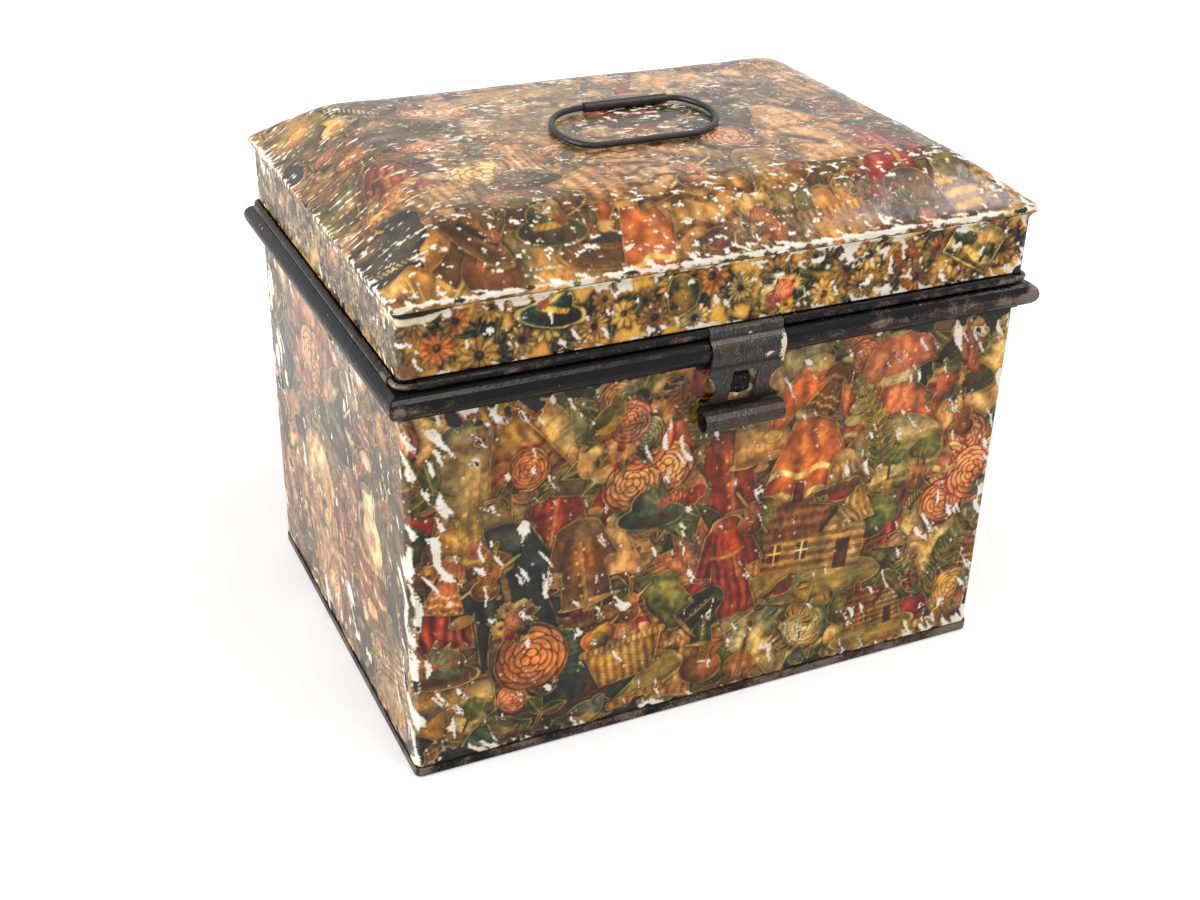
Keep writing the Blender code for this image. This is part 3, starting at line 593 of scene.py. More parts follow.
def bonnet(c):
    """A wide straw hat seen from the side, with ribbon and feathers."""
    hue = c.pick(STRAW, BROWN, TEAL, STRAW, MOSS)
    angle = np.arctan2(c.y + 0.3, c.x)
    straw = 0.84 + 0.16 * np.sin(46 * np.hypot(c.x, 2.2 * (c.y + 0.15)))
    weave = (straw * (0.94 + 0.06 * np.sin(70 * angle)))[..., None]
    c.oval((0, -0.28, 0.96, 0.36, 0.12), hue * weave * sun(c, 0, -0.3, 0.9, 0.35))
    c.oval((0.04, -0.34, 0.62, 0.17, 0.12), UMBER, soft=5)
    c.oval((0.02, 0.12, 0.52, 0.44), hue * weave * sun(c, 0, 0.1, 0.5, 0.5))
    band = np.abs(c.y + 0.12 - 0.12 * c.x ** 2) - 0.09
    ribbon = c.pick(CRIMSON, NAVY, GOLD, TEAL)
    c.fill(np.maximum(band, np.abs(c.x) - 0.52), folds(c, ribbon, 0.2, 0.3, 1))
    for turn in (0.7, 1.1, 1.6):
        distance, along, across = blade(c, (-0.35, 0.0), polar(0.8, turn, -0.35, 0.05), 0.13, 0.8)
        tone = 0.9 - 0.35 * np.abs(across) + 0.08 * np.sin(50 * (along + 0.3 * np.abs(across)))
        c.fill(distance, mix(ribbon, CREAM, 0.4) * tone[..., None])
    rose(c, -0.35, 0.02, 0.17, ROSE, CRIMSON)


# Things and creatures

def violin(c):
    """A brown violin, a little tilted, with its bow behind it."""
    c.line(((-0.75, 0.6), (0.65, -0.75)), 0.018, CREAM, True)
    for cy, rx, ry in ((-0.5, 0.4, 0.33), (0.02, 0.32, 0.28), (-0.24, 0.24, 0.3)):
        c.oval((0, cy, rx, ry), mix(BRICK, STRAW, 0.55) * sun(c, 0, -0.25, 0.6, 0.5))
    c.panel(((-0.05, -0.45), (0.05, -0.45), (0.035, 0.85), (-0.035, 0.85)), UMBER)
    c.oval((0, 0.9, 0.07, 0.1), BROWN)
    for side in (-1, 1):
        c.line(curve(((side * 0.16, -0.1), (side * 0.13, -0.22), (side * 0.18, -0.34))), 0.014, UMBER)
        c.line(((side * 0.02, -0.5), (side * 0.015, 0.8)), 0.004, CREAM)
    c.panel(((-0.09, -0.4), (0.09, -0.4), (0.06, -0.36), (-0.06, -0.36)), CREAM)


def pitcher(c):
    """A glazed jug with a painted flower."""
    glaze = c.pick(CREAM, TAN, BROWN, GREY, NAVY)
    c.fill(np.abs(oval(c, 0.46, 0.02, 0.27, 0.33)) - 0.05, glaze * 0.8)
    c.oval((0, -0.22, 0.52, 0.56), glaze * sun(c, -0.05, -0.2, 0.55, 0.45))
    c.panel(((-0.2, 0.1), (0.24, 0.1), (0.3, 0.75), (-0.42, 0.82)), glaze * (1.05 - 0.5 * c.x)[..., None])
    c.oval((-0.03, 0.76, 0.34, 0.08), glaze * 0.55)
    c.panel(((-0.3, -0.72), (0.3, -0.72), (0.34, -0.84), (-0.34, -0.84)), glaze * 0.75)
    rose(c, -0.05, -0.2, 0.2, BLUSH, BRICK)


def cottage(c):
    """A boarded cottage with a shingled roof under trees."""
    for cx, cy, size in ((-0.75, 0.25, 0.42), (0.8, 0.2, 0.36), (-0.35, 0.5, 0.3)):
        crown = blob(c, cx, cy, size, 0.25)
        c.fill(crown, mix(MOSS, OLIVE, c.noise(5, 5)) * sun(c, cx, cy, size, 0.4))
    c.fill(blob(c, 0, -0.7, 1.0, 0.08, 0.3), mix(OCHRE, OLIVE, c.noise(3, 12)))
    boards = 0.82 + 0.18 * np.sign(np.sin(48 * c.y))
    c.panel(((-0.1, -0.55), (0.75, -0.5), (0.75, 0.05), (-0.1, 0.05)),
            STRAW * (boards * (1.1 - 0.2 * c.x))[..., None])
    gable = ((-0.7, -0.6), (-0.1, -0.55), (-0.1, 0.05), (-0.38, 0.5), (-0.7, 0.0))
    c.panel(gable, TAN * boards[..., None])
    rows = np.sin(42 * c.y) + 0.5 * np.sin(60 * c.x + 9 * np.floor(6.7 * c.y))
    c.panel(((-0.4, 0.54), (0.6, 0.5), (0.88, 0.0), (-0.06, 0.0)), BROWN * (1 + 0.22 * rows)[..., None])
    c.panel(((0.3, 0.45), (0.45, 0.45), (0.45, 0.75), (0.3, 0.75)), BRICK * boards[..., None])
    for cx in (0.12, 0.5):
        c.panel(((cx, -0.35), (cx + 0.16, -0.35), (cx + 0.16, -0.1), (cx, -0.1)), UMBER)
        c.line(((cx + 0.08, -0.35), (cx + 0.08, -0.1)), 0.012, CREAM)
        c.line(((cx, -0.22), (cx + 0.16, -0.22)), 0.012, CREAM)
    c.panel(((-0.5, -0.58), (-0.3, -0.57), (-0.3, -0.15), (-0.5, -0.15)), UMBER)
    c.line(((-0.74, -0.02), (-0.38, 0.55), (-0.04, 0.02)), 0.03, UMBER)


def landscape(c):
    """An oval or square view: sky, hills, a lake and trees."""
    if c.rng.random() < 0.5:
        view = oval(c, 0, 0, 0.95, 0.72)
    else:
        view = np.maximum(np.abs(c.x) - 0.9, np.abs(c.y) - 0.66)
    mask = c.fill(view, mix(TAN, mix(SLATE, CREAM, 0.35), smooth(c.y, 0, 0.7)))
    cloud = smooth(c.layers(16, 3), 0.5, 0.75) * smooth(c.y, 0.1, 0.4)
    c.ink = mix(c.ink, CREAM, 0.7 * cloud * mask)
    for base, swell, hue in ((0.2, 0.22, SLATE), (0.05, 0.16, TEAL), (-0.08, 0.1, OLIVE)):
        phase = c.rng.uniform(0, 6.3)
        ridge = c.y - base - swell * np.sin(2.6 * c.x + phase) * np.sin(1.3 * c.x + 2 * phase)
        c.fill(ridge, mix(hue, OCHRE, 0.3 + 0.3 * c.noise(6, 10)), False, mask)
    c.fill(c.y + 0.2, mix(SLATE, CREAM, 0.3 + 0.5 * c.noise(2, 14)), False, mask)
    c.fill(c.y + 0.42 + 0.1 * np.sin(4 * c.x), mix(MOSS, OCHRE, c.noise(4, 6)), False, mask)
    for _ in range(4):
        cx, size = c.rng.uniform(-0.8, 0.8), c.rng.uniform(0.16, 0.3)
        c.line(((cx, -0.45), (cx, -0.1)), 0.025, UMBER, False, mask)
        crown = blob(c, cx, 0.02, size, 0.3)
        c.fill(crown, mix(MOSS, OLIVE, c.noise(4, 4)) * sun(c, cx, 0, size, 0.4), False, mask)


def vignette(c):
    """A torn scrap of engraved page: hatched ground with plants."""
    torn = blob(c, 0, 0, 0.85, 0.2)
    hue = c.pick(OCHRE, TAN, GREY, OLIVE, BLUSH, STRAW)
    cloudy = c.layers(22, 4)
    hatch = 0.05 * np.sin(90 * (c.x + c.y)) + 0.05 * np.sin(80 * (c.x - 0.7 * c.y))
    other = c.pick(BROWN, CREAM, BRICK, MOSS, TEAL)
    mask = c.fill(torn, mix(hue, other, smooth(cloudy, 0.35, 0.8)) * (1 + hatch)[..., None])
    for _ in range(5):
        cx, cy = c.rng.uniform(-0.6, 0.6, 2)
        tip = (cx + c.rng.uniform(-0.5, 0.5), cy + c.rng.uniform(0.2, 0.6))
        c.fill(blade(c, (cx, cy), tip, 0.1)[0], mix(other, UMBER, 0.4), False, mask)


def basket(c):
    """A woven basket of fruit and flowers with a hooped handle."""
    hoop = curve(((-0.6, 0.0), (0, 1.5), (0.6, 0.0)))
    c.line(hoop, 0.05, BROWN * (1 + 0.3 * np.sin(50 * c.y))[..., None], True)
    for _ in range(13):
        cx, cy = c.rng.uniform(-0.6, 0.6), c.rng.uniform(-0.05, 0.35)
        hue = c.pick(ORANGE, CRIMSON, GOLD, OLIVE, BLUSH)
        c.oval((cx, cy, 0.19), hue * sun(c, cx, cy, 0.19, 0.5))
    rose(c, 0.1, 0.22, 0.24, BLUSH, CRIMSON)
    weave = np.sin(40 * c.x + 3.14 * np.floor(14 * c.y)) * np.sin(44 * c.y)
    c.panel(((-0.75, 0.0), (0.75, 0.0), (0.52, -0.8), (-0.52, -0.8)),
            STRAW * (1 + 0.4 * weave - 0.3 * c.x)[..., None])
    c.line(((-0.76, 0.0), (0.76, 0.0)), 0.06, TAN * (1 + 0.3 * np.sin(60 * c.x))[..., None], True)


def butterfly(c):
    hue, spot = c.pick((ORANGE, UMBER), (GOLD, NAVY), (SLATE, CREAM), (BLUSH, BRICK))
    for side in (-1, 1):
        for tip, width in (((side * 0.9, 0.75), 0.38), ((side * 0.6, -0.75), 0.34)):
            wing, along, across = blade(c, (0, 0.05), tip, width, 1.7)
            tone = 1 - 0.2 * np.abs(np.sin(9 * across))
            c.fill(wing, mix(hue, UMBER, smooth(along, 0.75, 0.95)) * tone[..., None])
            c.line(((0.5 * tip[0], 0.8 * tip[1]), (0.8 * tip[0], 0.55 * tip[1])), 0.03, spot)
    c.line(((0, 0.4), (0, -0.45)), (0.05, 0.03), UMBER, True)


def bird(c):
    """A small bird on a twig, in profile."""
    hue, breast = c.pick((SLATE, BLUSH), (BROWN, CRIMSON), (OLIVE, GOLD))
    c.line(curve(((-0.9, -0.7), (0, -0.5), (0.9, -0.6))), 0.035, BROWN, True)
    leaf(c, (0.5, -0.56), (0.95, -0.2), 0.12, LEAF)
    c.fill(blade(c, (0.1, 0.0), (0.95, -0.35), 0.12, 1.4)[0], hue * 0.7)
    c.oval((-0.05, -0.05, 0.52, 0.34, -0.35), mix(breast, hue, smooth(c.y - 0.4 * c.x, -0.2, 0.15)))
    wing, _, across = blade(c, (-0.2, 0.1), (0.6, -0.15), 0.2, 0.7)
    c.fill(wing, hue * (0.75 + 0.2 * np.sin(26 * across))[..., None])
    c.oval((-0.42, 0.3, 0.2), hue * sun(c, -0.42, 0.3, 0.2, 0.3))
    c.panel(((-0.6, 0.34), (-0.8, 0.28), (-0.6, 0.24)), UMBER)
    c.oval((-0.48, 0.34, 0.03), UMBER)


GROUNDS = (vignette, landscape, vignette)
LARGE = (bonnet, dress, robe, coat, shawl, cottage, dress, basket, bonnet, shawl, coat, bouquet, dress)
MEDIUM = (dress, single_rose, landscape, coat, bonnet, violin, robe, bouquet, dress, pitcher, cottage,
          shawl, fern, coat, basket, branch)
SMALL = (sprig, single_rose, bird, branch, pitcher, fern, bouquet, violin, coat, dress, butterfly, bonnet)
STRIP_PATCHES = (vignette, bouquet, landscape, single_rose, butterfly, bonnet)


# The collage and its wear

def scatter(canvas, motifs, size, spacing, turn):
    """Paste motifs over the whole canvas at places that keep their distance, in random order."""
    rng = canvas.rng
    width, height = canvas.size
    columns, rows = max(1, round(width / spacing)), max(1, round(height / spacing))
    places = [((i + 0.5 + rng.uniform(-0.42, 0.42)) * width / columns,
               (j + 0.5 + rng.uniform(-0.42, 0.42)) * height / rows)
              for i in range(columns) for j in range(rows)]
    rng.shuffle(places)
    picks = [motifs[(index + rng.integers(2)) % len(motifs)] for index in range(len(places))]
    rng.shuffle(picks)
    for at, motif in zip(places, picks):
        stick(canvas, motif, at, size * rng.uniform(0.8, 1.25), rng.normal(0, turn), 0.0005)


def collage(canvas, large=0.055):
    """Cover the canvas: motifs, their size, their distance and how far they may turn."""
    for motifs, size, spacing, turn in ((GROUNDS, 0.055, 0.055, 0.3), (MEDIUM, 0.036, 0.05, 0.2),
                                        (LARGE, large, 0.086, 0.12), (MEDIUM, 0.033, 0.075, 0.2),
                                        (SMALL, 0.019, 0.066, 0.4)):
        scatter(canvas, motifs, size, spacing, turn)


def age(canvas, darken, light, streak=4.0):
    """Litho grain, brown varnish in clouds and runs, and rubbed patches."""
    millimetre = canvas.millimetre
    fine = canvas.specks(1.1)
    stipple = canvas.clouds(4 * millimetre)
    canvas.colour *= (0.84 + 0.14 * fine + 0.2 * stipple)[..., None]
    canvas.tint(canvas.colour.mean(-1, keepdims=True) * VARNISH * 1.15, 0.16)
    canvas.colour *= mix(np.ones(3, np.float32), VARNISH, np.full(fine.shape, 0.8))
    cloud = canvas.clouds(55 * millimetre, 4)
    runs = canvas.clouds(6 * millimetre, 3, streak)
    brown = np.clip(0.5 * smooth(cloud, 0.35, 0.8) + 0.4 * smooth(runs, 0.5, 0.85), 0, 1) * darken
    canvas.stain(rgb(184, 138, 84), brown)
    canvas.colour *= (0.9 + 0.3 * runs)[..., None]
    canvas.colour = light * canvas.colour / (0.8 + 0.5 * canvas.colour)
    canvas.relief += 0.00004 * (runs - 0.5)
    canvas.rough += 0.1 * (runs - 0.5)


def calm(canvas, share, hue):
    """Draw the inks together towards their grey, as under old varnish, and on the left sides as painted
    sheen: share is how far on a grid, hue what grey becomes.
    """
    canvas.tint(canvas.colour.mean(-1, keepdims=True) * hue, share)


def chip(canvas, amount, cell, stretch, deep=0.25, glint_specks=0.3):
    """Knock varnish and paper off: amount is a grid of how likely, 0 to 1. Cell is a flake's size in
    millimetres, deep the share of flakes that bare the japan, and the last number is how many small white
    specks
    a square centimetre are added: painted glints of the varnish, laid in as chips."""
    amount = np.clip(amount, 0, 0.9).astype(np.float32)
    rng, millimetre = canvas.rng, canvas.millimetre
    flakes = 0
    for share, tall, wide in ((0.62, cell * stretch, cell), (0.25, 1.9 * stretch, 1.9), (0.13, 1.0, 1.0)):
        flakes = flakes + share * canvas.specks(tall, wide)
    rows = np.arange(canvas.rows)[:, None]
    slant = (0.35 * rows + 2.5 * millimetre * np.sin(rows / (7 * millimetre))).astype(int)
    flakes = flakes[rows, (np.arange(canvas.columns) + slant) % canvas.columns]
    level = 1 - amount
    mask = smooth(flakes, level, level + 0.02)
    # Small white specks added to the chips: painted glints of the varnish
    for _ in range(int(glint_specks * mask.size / (10 * millimetre) ** 2)):
        row, column = rng.integers(canvas.rows), rng.integers(canvas.columns)
        reach = rng.uniform(0.35, 0.85) * millimetre
        if rng.random() < amount[row, column] * 2:
            span = slice(max(0, row - 2), row + 3), slice(max(0, column - 2), column + 3)
            up, across = np.ogrid[span[0], span[1]]
            patch = mask[span]
            far = np.hypot(up - row, across - column)[:patch.shape[0], :patch.shape[1]]
            mask[span] = np.maximum(patch, np.clip(reach - far + 0.5, 0, 1))
    torn = smooth(flakes, level - 0.035, level) * (1 - mask)
    canvas.stain(rgb(150, 112, 76), 0.6 * torn)
    tone = canvas.specks(5)
    canvas.tint(mix(CHIP, PAPER, 0.4 * tone), mask)
    core = smooth(flakes, level + 0.07, level + 0.09) * (canvas.specks(20) < deep)
    canvas.tint(mix(JAPAN, TEAL, 0.25 * tone), core)
    canvas.relief -= 0.00008 * core
    canvas.relief -= 0.00012 * mask
    canvas.rough = canvas.rough + (0.62 - canvas.rough) * mask


def bare_tin(canvas, depth):
    """Where the paper has gone at an edge: japan, with a pale torn border. Depth is metres inside."""
    canvas.tint(CREAM, 0.5 * smooth(depth, -0.0007, -0.0003))
    gone = smooth(depth, 0, 0.0004)
    canvas.tint(JAPAN, gone)
    canvas.rough = canvas.rough + 0.1 * gone
    canvas.relief -= 0.0001 * gone


# The papers of body, skirt and roof

# What grey becomes under the painted sheen of the left sides, and on the tanned roof
LEFT_SHEEN_HUE, TANNED = np.array((1.13, 1.0, 0.86)), np.array((1.2, 0.99, 0.77))

# How much lighter and warmer each part's paper is made; on the left sides the lightening is painted sheen and
# light
WALL_LIGHT, LEFT_PAINTED_SHEEN = np.array((1.01, 0.98, 0.87)), np.array((1.27, 1.18, 1.07))
SKIRT_LIGHT = np.array((0.99, 0.96, 0.79))
LEVEL_LIGHT, SLOPE_LIGHT = np.array((1.08, 1.02, 0.92)), np.array((0.99, 0.91, 0.67))
# The pale tan the left side is tinted towards, part of its painted sheen
LEFT_SHEEN_TINT = rgb(190, 166, 132)

# Patches on the front, each as its x, z and reach both ways; the wear also says how much more chips off
FRONT_WEAR = ((-0.183, 0.18, 0.006, 0.05, 0.16), (-0.13, 0.12, 0.012, 0.06, 0.12),
              (0.16, 0.232, 0.02, 0.01, 0.2), (0.19, 0.02, 0.014, 0.018, 0.2),
              (0.09, 0.16, 0.012, 0.01, 0.16), (-0.17, 0.225, 0.02, 0.012, 0.16))
SMEAR = (-0.032, 0.236, 0.014, 0.022)
STAPLE_GROUND = (0.008, 0.222, 0.01, 0.006)
STAPLE_CHIPS = ((0.0035, 0.2253, 0.0021, 0.0026), (0.0127, 0.2272, 0.0021, 0.0026))
TORN_TOP = (0.187, 0.2475, 0.012, 1)
SKIRT_SEAM = (-0.17, 0.306, 0.05, 0.004)
SKIRT_SPOT = (-0.2, 0.2755, 0.006, 0.0045)


class Wrap:
    """The way round an upright box, to the right as seen from outside, from the middle of its back."""

    def __init__(self, half_y, corner):
        outline = [(0.0, half_y)]
        for side_x, side_y in ((-1, 1), (-1, -1), (1, -1), (1, 1)):
            turn = corner if side_x * side_y < 0 else corner[::-1]
            outline += [(side_x * x, side_y * y) for x, y in turn]
        outline.append((0.0, half_y))
        self.outline = np.array(outline)
        self.along = np.concatenate(([0], np.cumsum(np.hypot(*np.diff(self.outline, axis=0).T))))
        self.length = self.along[-1]
        steps = len(corner)
        ends = [self.along[1 + turn * steps + steps // 2] for turn in range(4)]
        ends.append(ends[0] + self.length)
        self.sides = dict(zip(("left", "front", "right", "back"), zip(ends, ends[1:])))

    def at(self, along):
        """Places (x, y) at distances round the box."""
        along = along % self.length
        return np.stack([np.interp(along, self.along, self.outline[:, k]) for k in (0, 1)], -1)

    def out(self, along, reach=0.0004):
        """Outward directions there."""
        step = self.at(along + reach) - self.at(along - reach)
        normal = np.stack((step[..., 1], -step[..., 0]), -1)
        return normal / np.linalg.norm(normal, axis=-1, keepdims=True)

    def places(self, canvas, low):
        """Where a canvas round the box lies: its x and y along it and its z up it."""
        place = self.at(np.arange(canvas.columns) / canvas.columns * self.length)
        return place[None, :, 0], place[None, :, 1], low + np.arange(canvas.rows)[:, None] * canvas.step


def arc(centre_x, centre_y, radius, end, steps=9):
    """Points on a corner's arc, from the front or back round towards the end of the box."""
    return [(centre_x + radius * math.sin(angle), centre_y + radius * math.cos(angle))
            for angle in np.radians(np.linspace(0, end, steps))]


def wall_paper():
    """The paper round the body, with its wear."""
    wrap = Wrap(WALL_Y, arc(*WALL_BEND, 50) + [WALL_LAP])
    canvas = Canvas(wrap.length, BODY_HIGH - BODY_LOW, 11, True)
    collage(canvas)
    x, y, z = wrap.places(canvas, BODY_LOW)
    front, left = (y < FRONT).astype(float), (x < LEFT).astype(float)
    age(canvas, 0.6, 1.3)
    streaks = canvas.clouds(0.006 / canvas.step, 3, 5)
    # The left side is drawn paler, greyer, streaky, lighter and tinted tan: painted sheen and light
    calm(canvas, left * (0.4 + 0.3 * streaks), LEFT_SHEEN_HUE)
    canvas.contrast(1.1)
    canvas.colour = canvas.colour * np.where(left[..., None] > 0, LEFT_PAINTED_SHEEN, WALL_LIGHT)
    canvas.tint(LEFT_SHEEN_TINT, 0.14 * left + 0 * z)
    edge = np.hypot(np.abs(x) - WALL_EDGE[0], np.abs(y) - WALL_EDGE[1])
    zone = canvas.clouds(0.045 / canvas.step)
    amount = 0.21 + 0.15 * smooth(zone, 0.5, 0.8) + 0.26 * np.exp(-edge / 0.005)
    amount = amount + 0.2 * np.exp(-(z - BODY_LOW) / 0.0035) + 0.1 * np.exp(-(BODY_HIGH - z) / 0.005)
    for *patch, more in FRONT_WEAR:
        amount = amount + more * front * near(x, z, *patch)
    amount = amount + 0.04 * left * smooth(zone, 0.4, 0.7)
    chip(canvas, amount, 3.8, 3.2)
    canvas.stain(rgb(206, 128, 62), 0.8 * smooth(front * near(x, z, *SMEAR), 0.2, 0.8))
    canvas.tint(rgb(158, 120, 92), 0.7 * front * smooth(near(x, z, *STAPLE_GROUND), 0.3, 0.7))
    for patch in STAPLE_CHIPS:
        bare = front * near(x, z, *patch) + 0.3 * (streaks - 0.5)
        canvas.tint(CHIP, smooth(bare, 0.4, 0.5))
    ragged = canvas.clouds(0.012 / canvas.step)
    foot = 0.011 * smooth(ragged, 0.42, 0.8)
    head = 0.0135 * smooth(ragged, 0.45, 0.85) - 0.0012 + 0.009 * front * near(x, z, *TORN_TOP)
    bare_tin(canvas, np.maximum(foot - z + BODY_LOW, head - BODY_HIGH + z))
    canvas.tint(mix(JAPAN, TEAL, 0.3), 0.9 * left * (y > DARK_END + 0.001 * ragged))
    return canvas, wrap


def skirt_paper():
    """The strip round the lid: a printed flower border, pasted over in places."""
    wrap = Wrap(SKIRT_Y, arc(SKIRT_X - SKIRT_CORNER, SKIRT_Y - SKIRT_CORNER, SKIRT_CORNER, 90))
    canvas = Canvas(wrap.length, SKIRT_HIGH - SKIRT_LOW, 23, True)
    rng, (width, height) = canvas.rng, canvas.size
    canvas.colour = mix(OCHRE, GOLD, 0.5 * canvas.clouds(0.02 / canvas.step, 4))
    for motif, count, low, high in ((border_leaves, 80, 0.013, 0.02), (border_flower, 130, 0.008, 0.015)):
        for index in range(count):
            row = rng.uniform(0.02, 0.45) + 0.5 * (index % 2)
            at = ((index + rng.uniform(0, 0.7)) * width / count, row * height)
            stick(canvas, motif, at, rng.uniform(low, high), rng.uniform(-3, 3), 0.0002, 0.00003)
    for index in range(14):
        at = ((index + rng.uniform(0.2, 0.9)) * width / 14, rng.uniform(0.3, 0.8) * height)
        motif = STRIP_PATCHES[index % len(STRIP_PATCHES)]
        stick(canvas, motif, at, rng.uniform(0.012, 0.022), rng.normal(0, 0.3))
    age(canvas, 0.6, 1.4)
    canvas.contrast(1.62)
    canvas.colour = canvas.colour * SKIRT_LIGHT
    x, y, z = wrap.places(canvas, SKIRT_LOW)
    drop = SKIRT_HIGH - z
    # The left end drawn paler and greyer: painted sheen
    calm(canvas, 0.5 * (x < LEFT) + 0 * z, LEFT_SHEEN_HUE)
    edge = np.hypot(np.abs(x) - SKIRT_EDGE[0], np.abs(y) - SKIRT_EDGE[1])
    zone = canvas.clouds(0.03 / canvas.step)
    seam = np.exp(-drop / 0.0025) + 0.7 * near(x, z, *SKIRT_SEAM) * (y < 0)
    amount = 0.265 + 0.15 * smooth(zone, 0.5, 0.8) + 0.2 * np.exp(-edge / 0.004) + 0.28 * seam
    amount = amount - 0.09 * (x < LEFT)
    amount = amount + (0.14 + 0.2 * (y < 0) * smooth(x, 0.05, 0.12)) * np.exp(-(z - SKIRT_LOW) / 0.003)
    chip(canvas, amount, 4.4, 1.1, 0.1)
    front = y < SKIRT_FRONT
    # Near the left of the front the strip has torn away under the lip: bare japan there, darkened further as
    # painted shadow of the lip, over a pale torn band
    torn_shaded_depth = 0.0044 * (1 - smooth(x, -0.196, -0.158)) * front
    band = torn_shaded_depth + (0.0035 + 0.002 * zone) * (1 - smooth(x, -0.185, -0.176)) * front
    canvas.tint(mix(CREAM, CHIP, zone), 0.95 * smooth(band - drop, 0, 0.0004))
    canvas.tint(JAPAN * 0.5, smooth(torn_shaded_depth - drop, 0, 0.0004))
    canvas.tint(rgb(132, 88, 52), 0.8 * smooth(near(x, z, *SKIRT_SPOT) * (y < -0.145), 0.35, 0.5))
    return canvas, wrap


def roof_paper():
    """The paper on the lid's top, worn along its creases, hips and edge."""
    canvas = Canvas(2 * (LIP_X + LIP_DROP), 2 * (LIP_Y + LIP_DROP), 37)
    collage(canvas, 0.05)
    age(canvas, 0.5, 1.35, 1.0)
    x = np.abs(np.arange(canvas.columns)[None] * canvas.step - LIP_X - LIP_DROP)
    y = np.abs(np.arange(canvas.rows)[:, None] * canvas.step - LIP_Y - LIP_DROP)
    end_x, end_y = x - ROOF_FLAT_X, y - ROOF_FLAT_Y
    level = (np.maximum(end_x, end_y) < 0).astype(float)
    calm(canvas, 0.22 + 0.23 * level, TANNED)
    canvas.colour = canvas.colour * np.where(level[..., None] > 0, LEVEL_LIGHT, SLOPE_LIGHT)
    crease = np.minimum(np.abs(np.maximum(end_x, end_y)), 1.0)
    hip = np.where((end_x > 0) & (end_y > 0), np.abs(end_x - 0.955 * end_y), 1.0)
    edge = np.minimum(LIP_X - x, LIP_Y - y)
    zone = canvas.clouds(0.05 / canvas.step)
    amount = 0.268 + 0.13 * smooth(zone, 0.5, 0.8) + 0.1 * np.exp(-crease / 0.004)
    amount = amount + 0.15 * np.exp(-hip / 0.005)
    seam = np.exp(-((edge + 0.0003) / 0.0014) ** 2) * np.where(LIP_Y - y < LIP_X - x, 0.3, 0.14)
    amount = amount + 0.16 * np.exp(-np.abs(edge) / 0.004) + seam
    chip(canvas, amount, 4.2, 0.5, 0.15, 0.5)
    return canvas


# The skins

def to_linear(colour):
    colour = np.clip(colour, 0, 1)
    return np.where(colour <= 0.04045, colour / 12.92, ((colour + 0.055) / 1.055) ** 2.4)


def skin(name, body, points, colour, gloss, material):
    """A thin grid piece from its points, with its paint on them and a flat map for baking."""
    rows, columns = points.shape[:2]
    index = np.arange(rows * columns).reshape(rows, columns)
    quads = np.stack((index[:-1, :-1], index[:-1, 1:], index[1:, 1:], index[1:, :-1]), -1).reshape(-1)
    mesh = bpy.data.meshes.new(name)
    mesh.vertices.add(rows * columns)
    mesh.vertices.foreach_set("co", points.astype(np.float32).ravel())
    mesh.loops.add(quads.size)
    mesh.loops.foreach_set("vertex_index", quads.astype(np.int32))
    mesh.polygons.add(quads.size // 4)
    mesh.polygons.foreach_set("loop_start", np.arange(0, quads.size, 4, dtype=np.int32))
    mesh.update(calc_edges=True)
    mesh.shade_smooth()
    paint = mesh.color_attributes.new("paint", "FLOAT_COLOR", "POINT")
    rgba = np.ones((rows * columns, 4), np.float32)
    rgba[:, :3] = to_linear(colour.reshape(-1, 3))
    paint.data.foreach_set("color", rgba.ravel())
    shine = mesh.attributes.new("gloss", "FLOAT", "POINT")
    shine.data.foreach_set("value", gloss.astype(np.float32).ravel())
    across, up = np.meshgrid(np.linspace(0, 1, columns), np.linspace(0, 1, rows))
    flat = np.stack((across, up), -1).reshape(-1, 2)[quads]
    mesh.uv_layers.new(name="OFBake").uv.foreach_set("vector", flat.astype(np.float32).ravel())
    piece = bpy.data.objects.new(name, mesh)
    bpy.context.scene.collection.objects.link(piece)
    mesh.materials.append(material)
    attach(piece, body)


def wall_shape(x, y, z):
    """Thin behind the hasp and the hinge straps, full elsewhere."""
    thin = 1 - 0.6 * (y < FRONT) * inside(x, HASP_SPAN) * inside(z, BELOW_HASP)
    thin = thin * (1 - 0.6 * (y > BACK) * inside(np.abs(x), STRAP_SPAN) * inside(z, BELOW_STRAP))
    return thin, 0 * z


def skirt_shape(x, y, z):
    """The strip leans out to the lip, but near the left end of the front its upper edge has torn away."""
    thin = 1 - 0.85 * (y < FRONT) * inside(x, HASP_SPAN)
    torn = (y < SKIRT_FRONT) * (1 - smooth(x, -0.185, -0.145))
    lean = smooth(z, SKIRT_HIGH - 0.0055, SKIRT_HIGH) ** 1.3
    return thin, SKIRT_OVERHANG * lean * (1 - torn)


def upright(label, body, paper, low, high, side, spacing, pieces, shape, material):
    """The skins of one side. Shape gives the paper's share of thickness and its outset at each place."""
    canvas, wrap = paper
    start, end = wrap.sides[side]
    rows = round((high - low) / spacing) + 1
    columns = round((end - start) / spacing / pieces) + 1
    for number in range(pieces):
        first = start + (end - start) * number / pieces
        last = start + (end - start) * (number + 1) / pieces
        along, height = np.meshgrid(np.linspace(first, last, columns), np.linspace(low, high, rows))
        place, out = wrap.at(along), wrap.out(along)
        thin, outset = shape(place[..., 0], place[..., 1], height)
        column, row = along / wrap.length * canvas.columns, (height - low) / canvas.step
        relief, colour, gloss = canvas.at(column, row)
        lift = (PAPER_GAP + relief) * thin
        lift[0] = 0.00002
        lift[-1] *= 0.3
        points = np.concatenate((place + out * (lift + outset)[..., None], height[..., None]), -1)
        suffix = "_%d" % (number + 1) if pieces > 1 else ""
        skin("%s_%s%s" % (label, side, suffix), body, points, colour, gloss, material)


